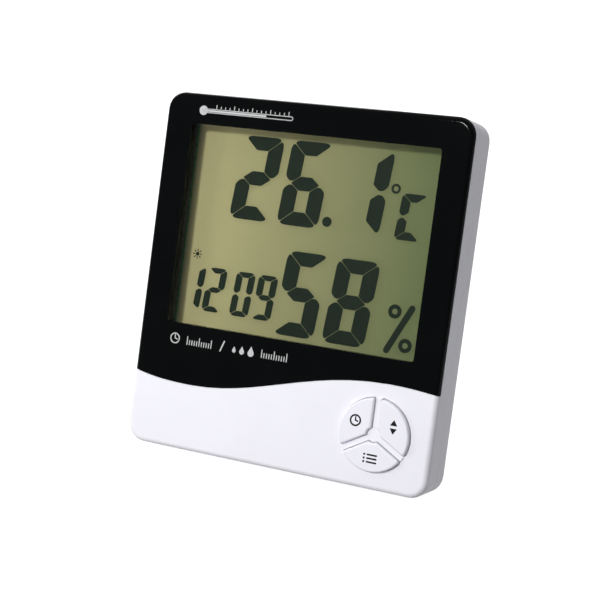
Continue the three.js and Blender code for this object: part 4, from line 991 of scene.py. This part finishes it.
def clock_and_drops():
    """A clock and a scale, a stroke, water drops and another scale."""
    clock = small_clock(on_face(*CLOCK_PLACE), **BEZEL_CLOCK)
    slash = stroke(*[on_face(*place) for place in SLASH_ENDS], SLASH_WIDTH)
    drops = [drop(on_face(left, DROP_LINE), radius) for left, radius in zip(DROP_LEFTS, DROP_RADII)]
    time = bezel_scale(TIME_SCALE, SCALE_LINE, SCALE_TICKS)
    humidity = bezel_scale(HUMIDITY_SCALE, SCALE_LINE, SCALE_TICKS)
    return [*clock, *time, slash, *drops, *humidity]


def clock_sign(centre):
    return small_clock(centre, **KEY_CLOCK)


def arrows_sign(centre):
    return [rounded([centre + p * way for p in ARROW], ARROW_ROUND) for way in (1, -1)]


def list_sign(centre):
    rows = [centre + Vector((0, lift)) for lift in (LIST_PITCH, 0, -LIST_PITCH)]
    bars = [stroke(row + BAR_LEFT, row + BAR_RIGHT, BAR_WIDTH) for row in rows]
    return bars + [circle(row + DOT_LEFT, DOT_RADIUS) for row in rows]


print_on_bezel("print_thermometer", thermometer())
print_on_bezel("print_clock_and_drops", clock_and_drops())
print_on_key("right", arrows_sign)
print_on_key("left", clock_sign)
print_on_key("bottom", list_sign)


# Camera, light and floor
def aim(piece, place, direction):
    piece.location = place
    piece.rotation_mode = "QUATERNION"
    piece.rotation_quaternion = direction.to_track_quat("-Z", "Y")


def add_camera():
    data = bpy.data.cameras.new("camera")
    data.lens = CAMERA_LENS
    data.sensor_width = SENSOR
    data.clip_start = CAMERA_NEAR
    camera = bpy.data.objects.new("camera", data)
    bpy.context.scene.collection.objects.link(camera)
    aim(camera, CAMERA_PLACE, CAMERA_LOOK)
    bpy.context.scene.camera = camera


def add_lights():
    for name, lamp in LAMPS.items():
        data = bpy.data.lights.new(name, "AREA")
        data.shape = "DISK"
        data.size = lamp["size"]
        data.energy = lamp["power"]
        data.use_shadow = lamp["shadow"]
        light = bpy.data.objects.new(name, data)
        light.visible_camera = False
        light.visible_glossy = lamp["gloss"]
        bpy.context.scene.collection.objects.link(light)
        aim(light, lamp["place"], LAMP_AIM - lamp["place"])


def seen_by_eye(look):
    """1 for the camera's rays; and 1 for those, rays off a mirror and rays through glass."""
    path = look.add("LightPath").outputs
    bounced = look.math("MAXIMUM", path["Is Glossy Ray"], path["Is Transmission Ray"])
    return path["Is Camera Ray"], look.math("MAXIMUM", path["Is Camera Ray"], bounced)


def add_world():
    """Soft light from all sides, a white background, and a dim room in front of the clock."""
    world = bpy.data.worlds.new("studio")
    bpy.context.scene.world = world
    world.use_nodes = True
    world.node_tree.nodes.clear()
    look = Nodes(world.node_tree, "Generated")
    camera, seen = seen_by_eye(look)
    room = look.span(look.along("Y"), ROOM_DARK, ROOM_BRIGHT, ROOM_FRONT, ROOM_BACK)
    room = look.math("MAXIMUM", room, camera)
    slope = look.add("VectorMath", {0: look.place, 1: SKY_SLOPE}, operation="DOT_PRODUCT")
    sky = look.math("MAXIMUM", look.math("ADD", slope.outputs["Value"], SKY_MEAN), 0.0)
    ambient = look.add("Background", {"Color": SKY, "Strength": sky})
    shown = look.add("Background", {"Color": WHITE, "Strength": room})
    both = look.add("MixShader", {0: seen, 1: ambient.outputs[0], 2: shown.outputs[0]})
    output = look.add("OutputWorld")
    look.tree.links.new(both.outputs[0], output.inputs["Surface"])


def floor_look():
    """Grey to the light, so that it keeps a shadow, and lifted to white for the eye."""
    look = Look("floor")
    diffuse = look.add("BsdfDiffuse", {"Color": FLOOR_COLOUR})
    _, seen = seen_by_eye(look)
    lift = look.add("Emission", {"Color": WHITE, "Strength": look.math("MULTIPLY", seen, FLOOR_LIFT)})
    return look.wear(look.add("AddShader", {0: diffuse.outputs[0], 1: lift.outputs[0]}))


def add_floor():
    bm = bmesh.new()
    bmesh.ops.create_circle(bm, cap_ends=True, radius=FLOOR_RADIUS, segments=FLOOR_SIDES)
    mesh = bpy.data.meshes.new("floor")
    bm.to_mesh(mesh)
    bm.free()
    mesh.materials.append(floor_look().material)
    floor = bpy.data.objects.new("floor", mesh)
    bpy.context.scene.collection.objects.link(floor)


add_camera()
add_lights()
add_world()
add_floor()
bpy.context.scene.view_settings.view_transform = "Standard"
bpy.context.scene.cycles.transparent_max_bounces = LAYERS
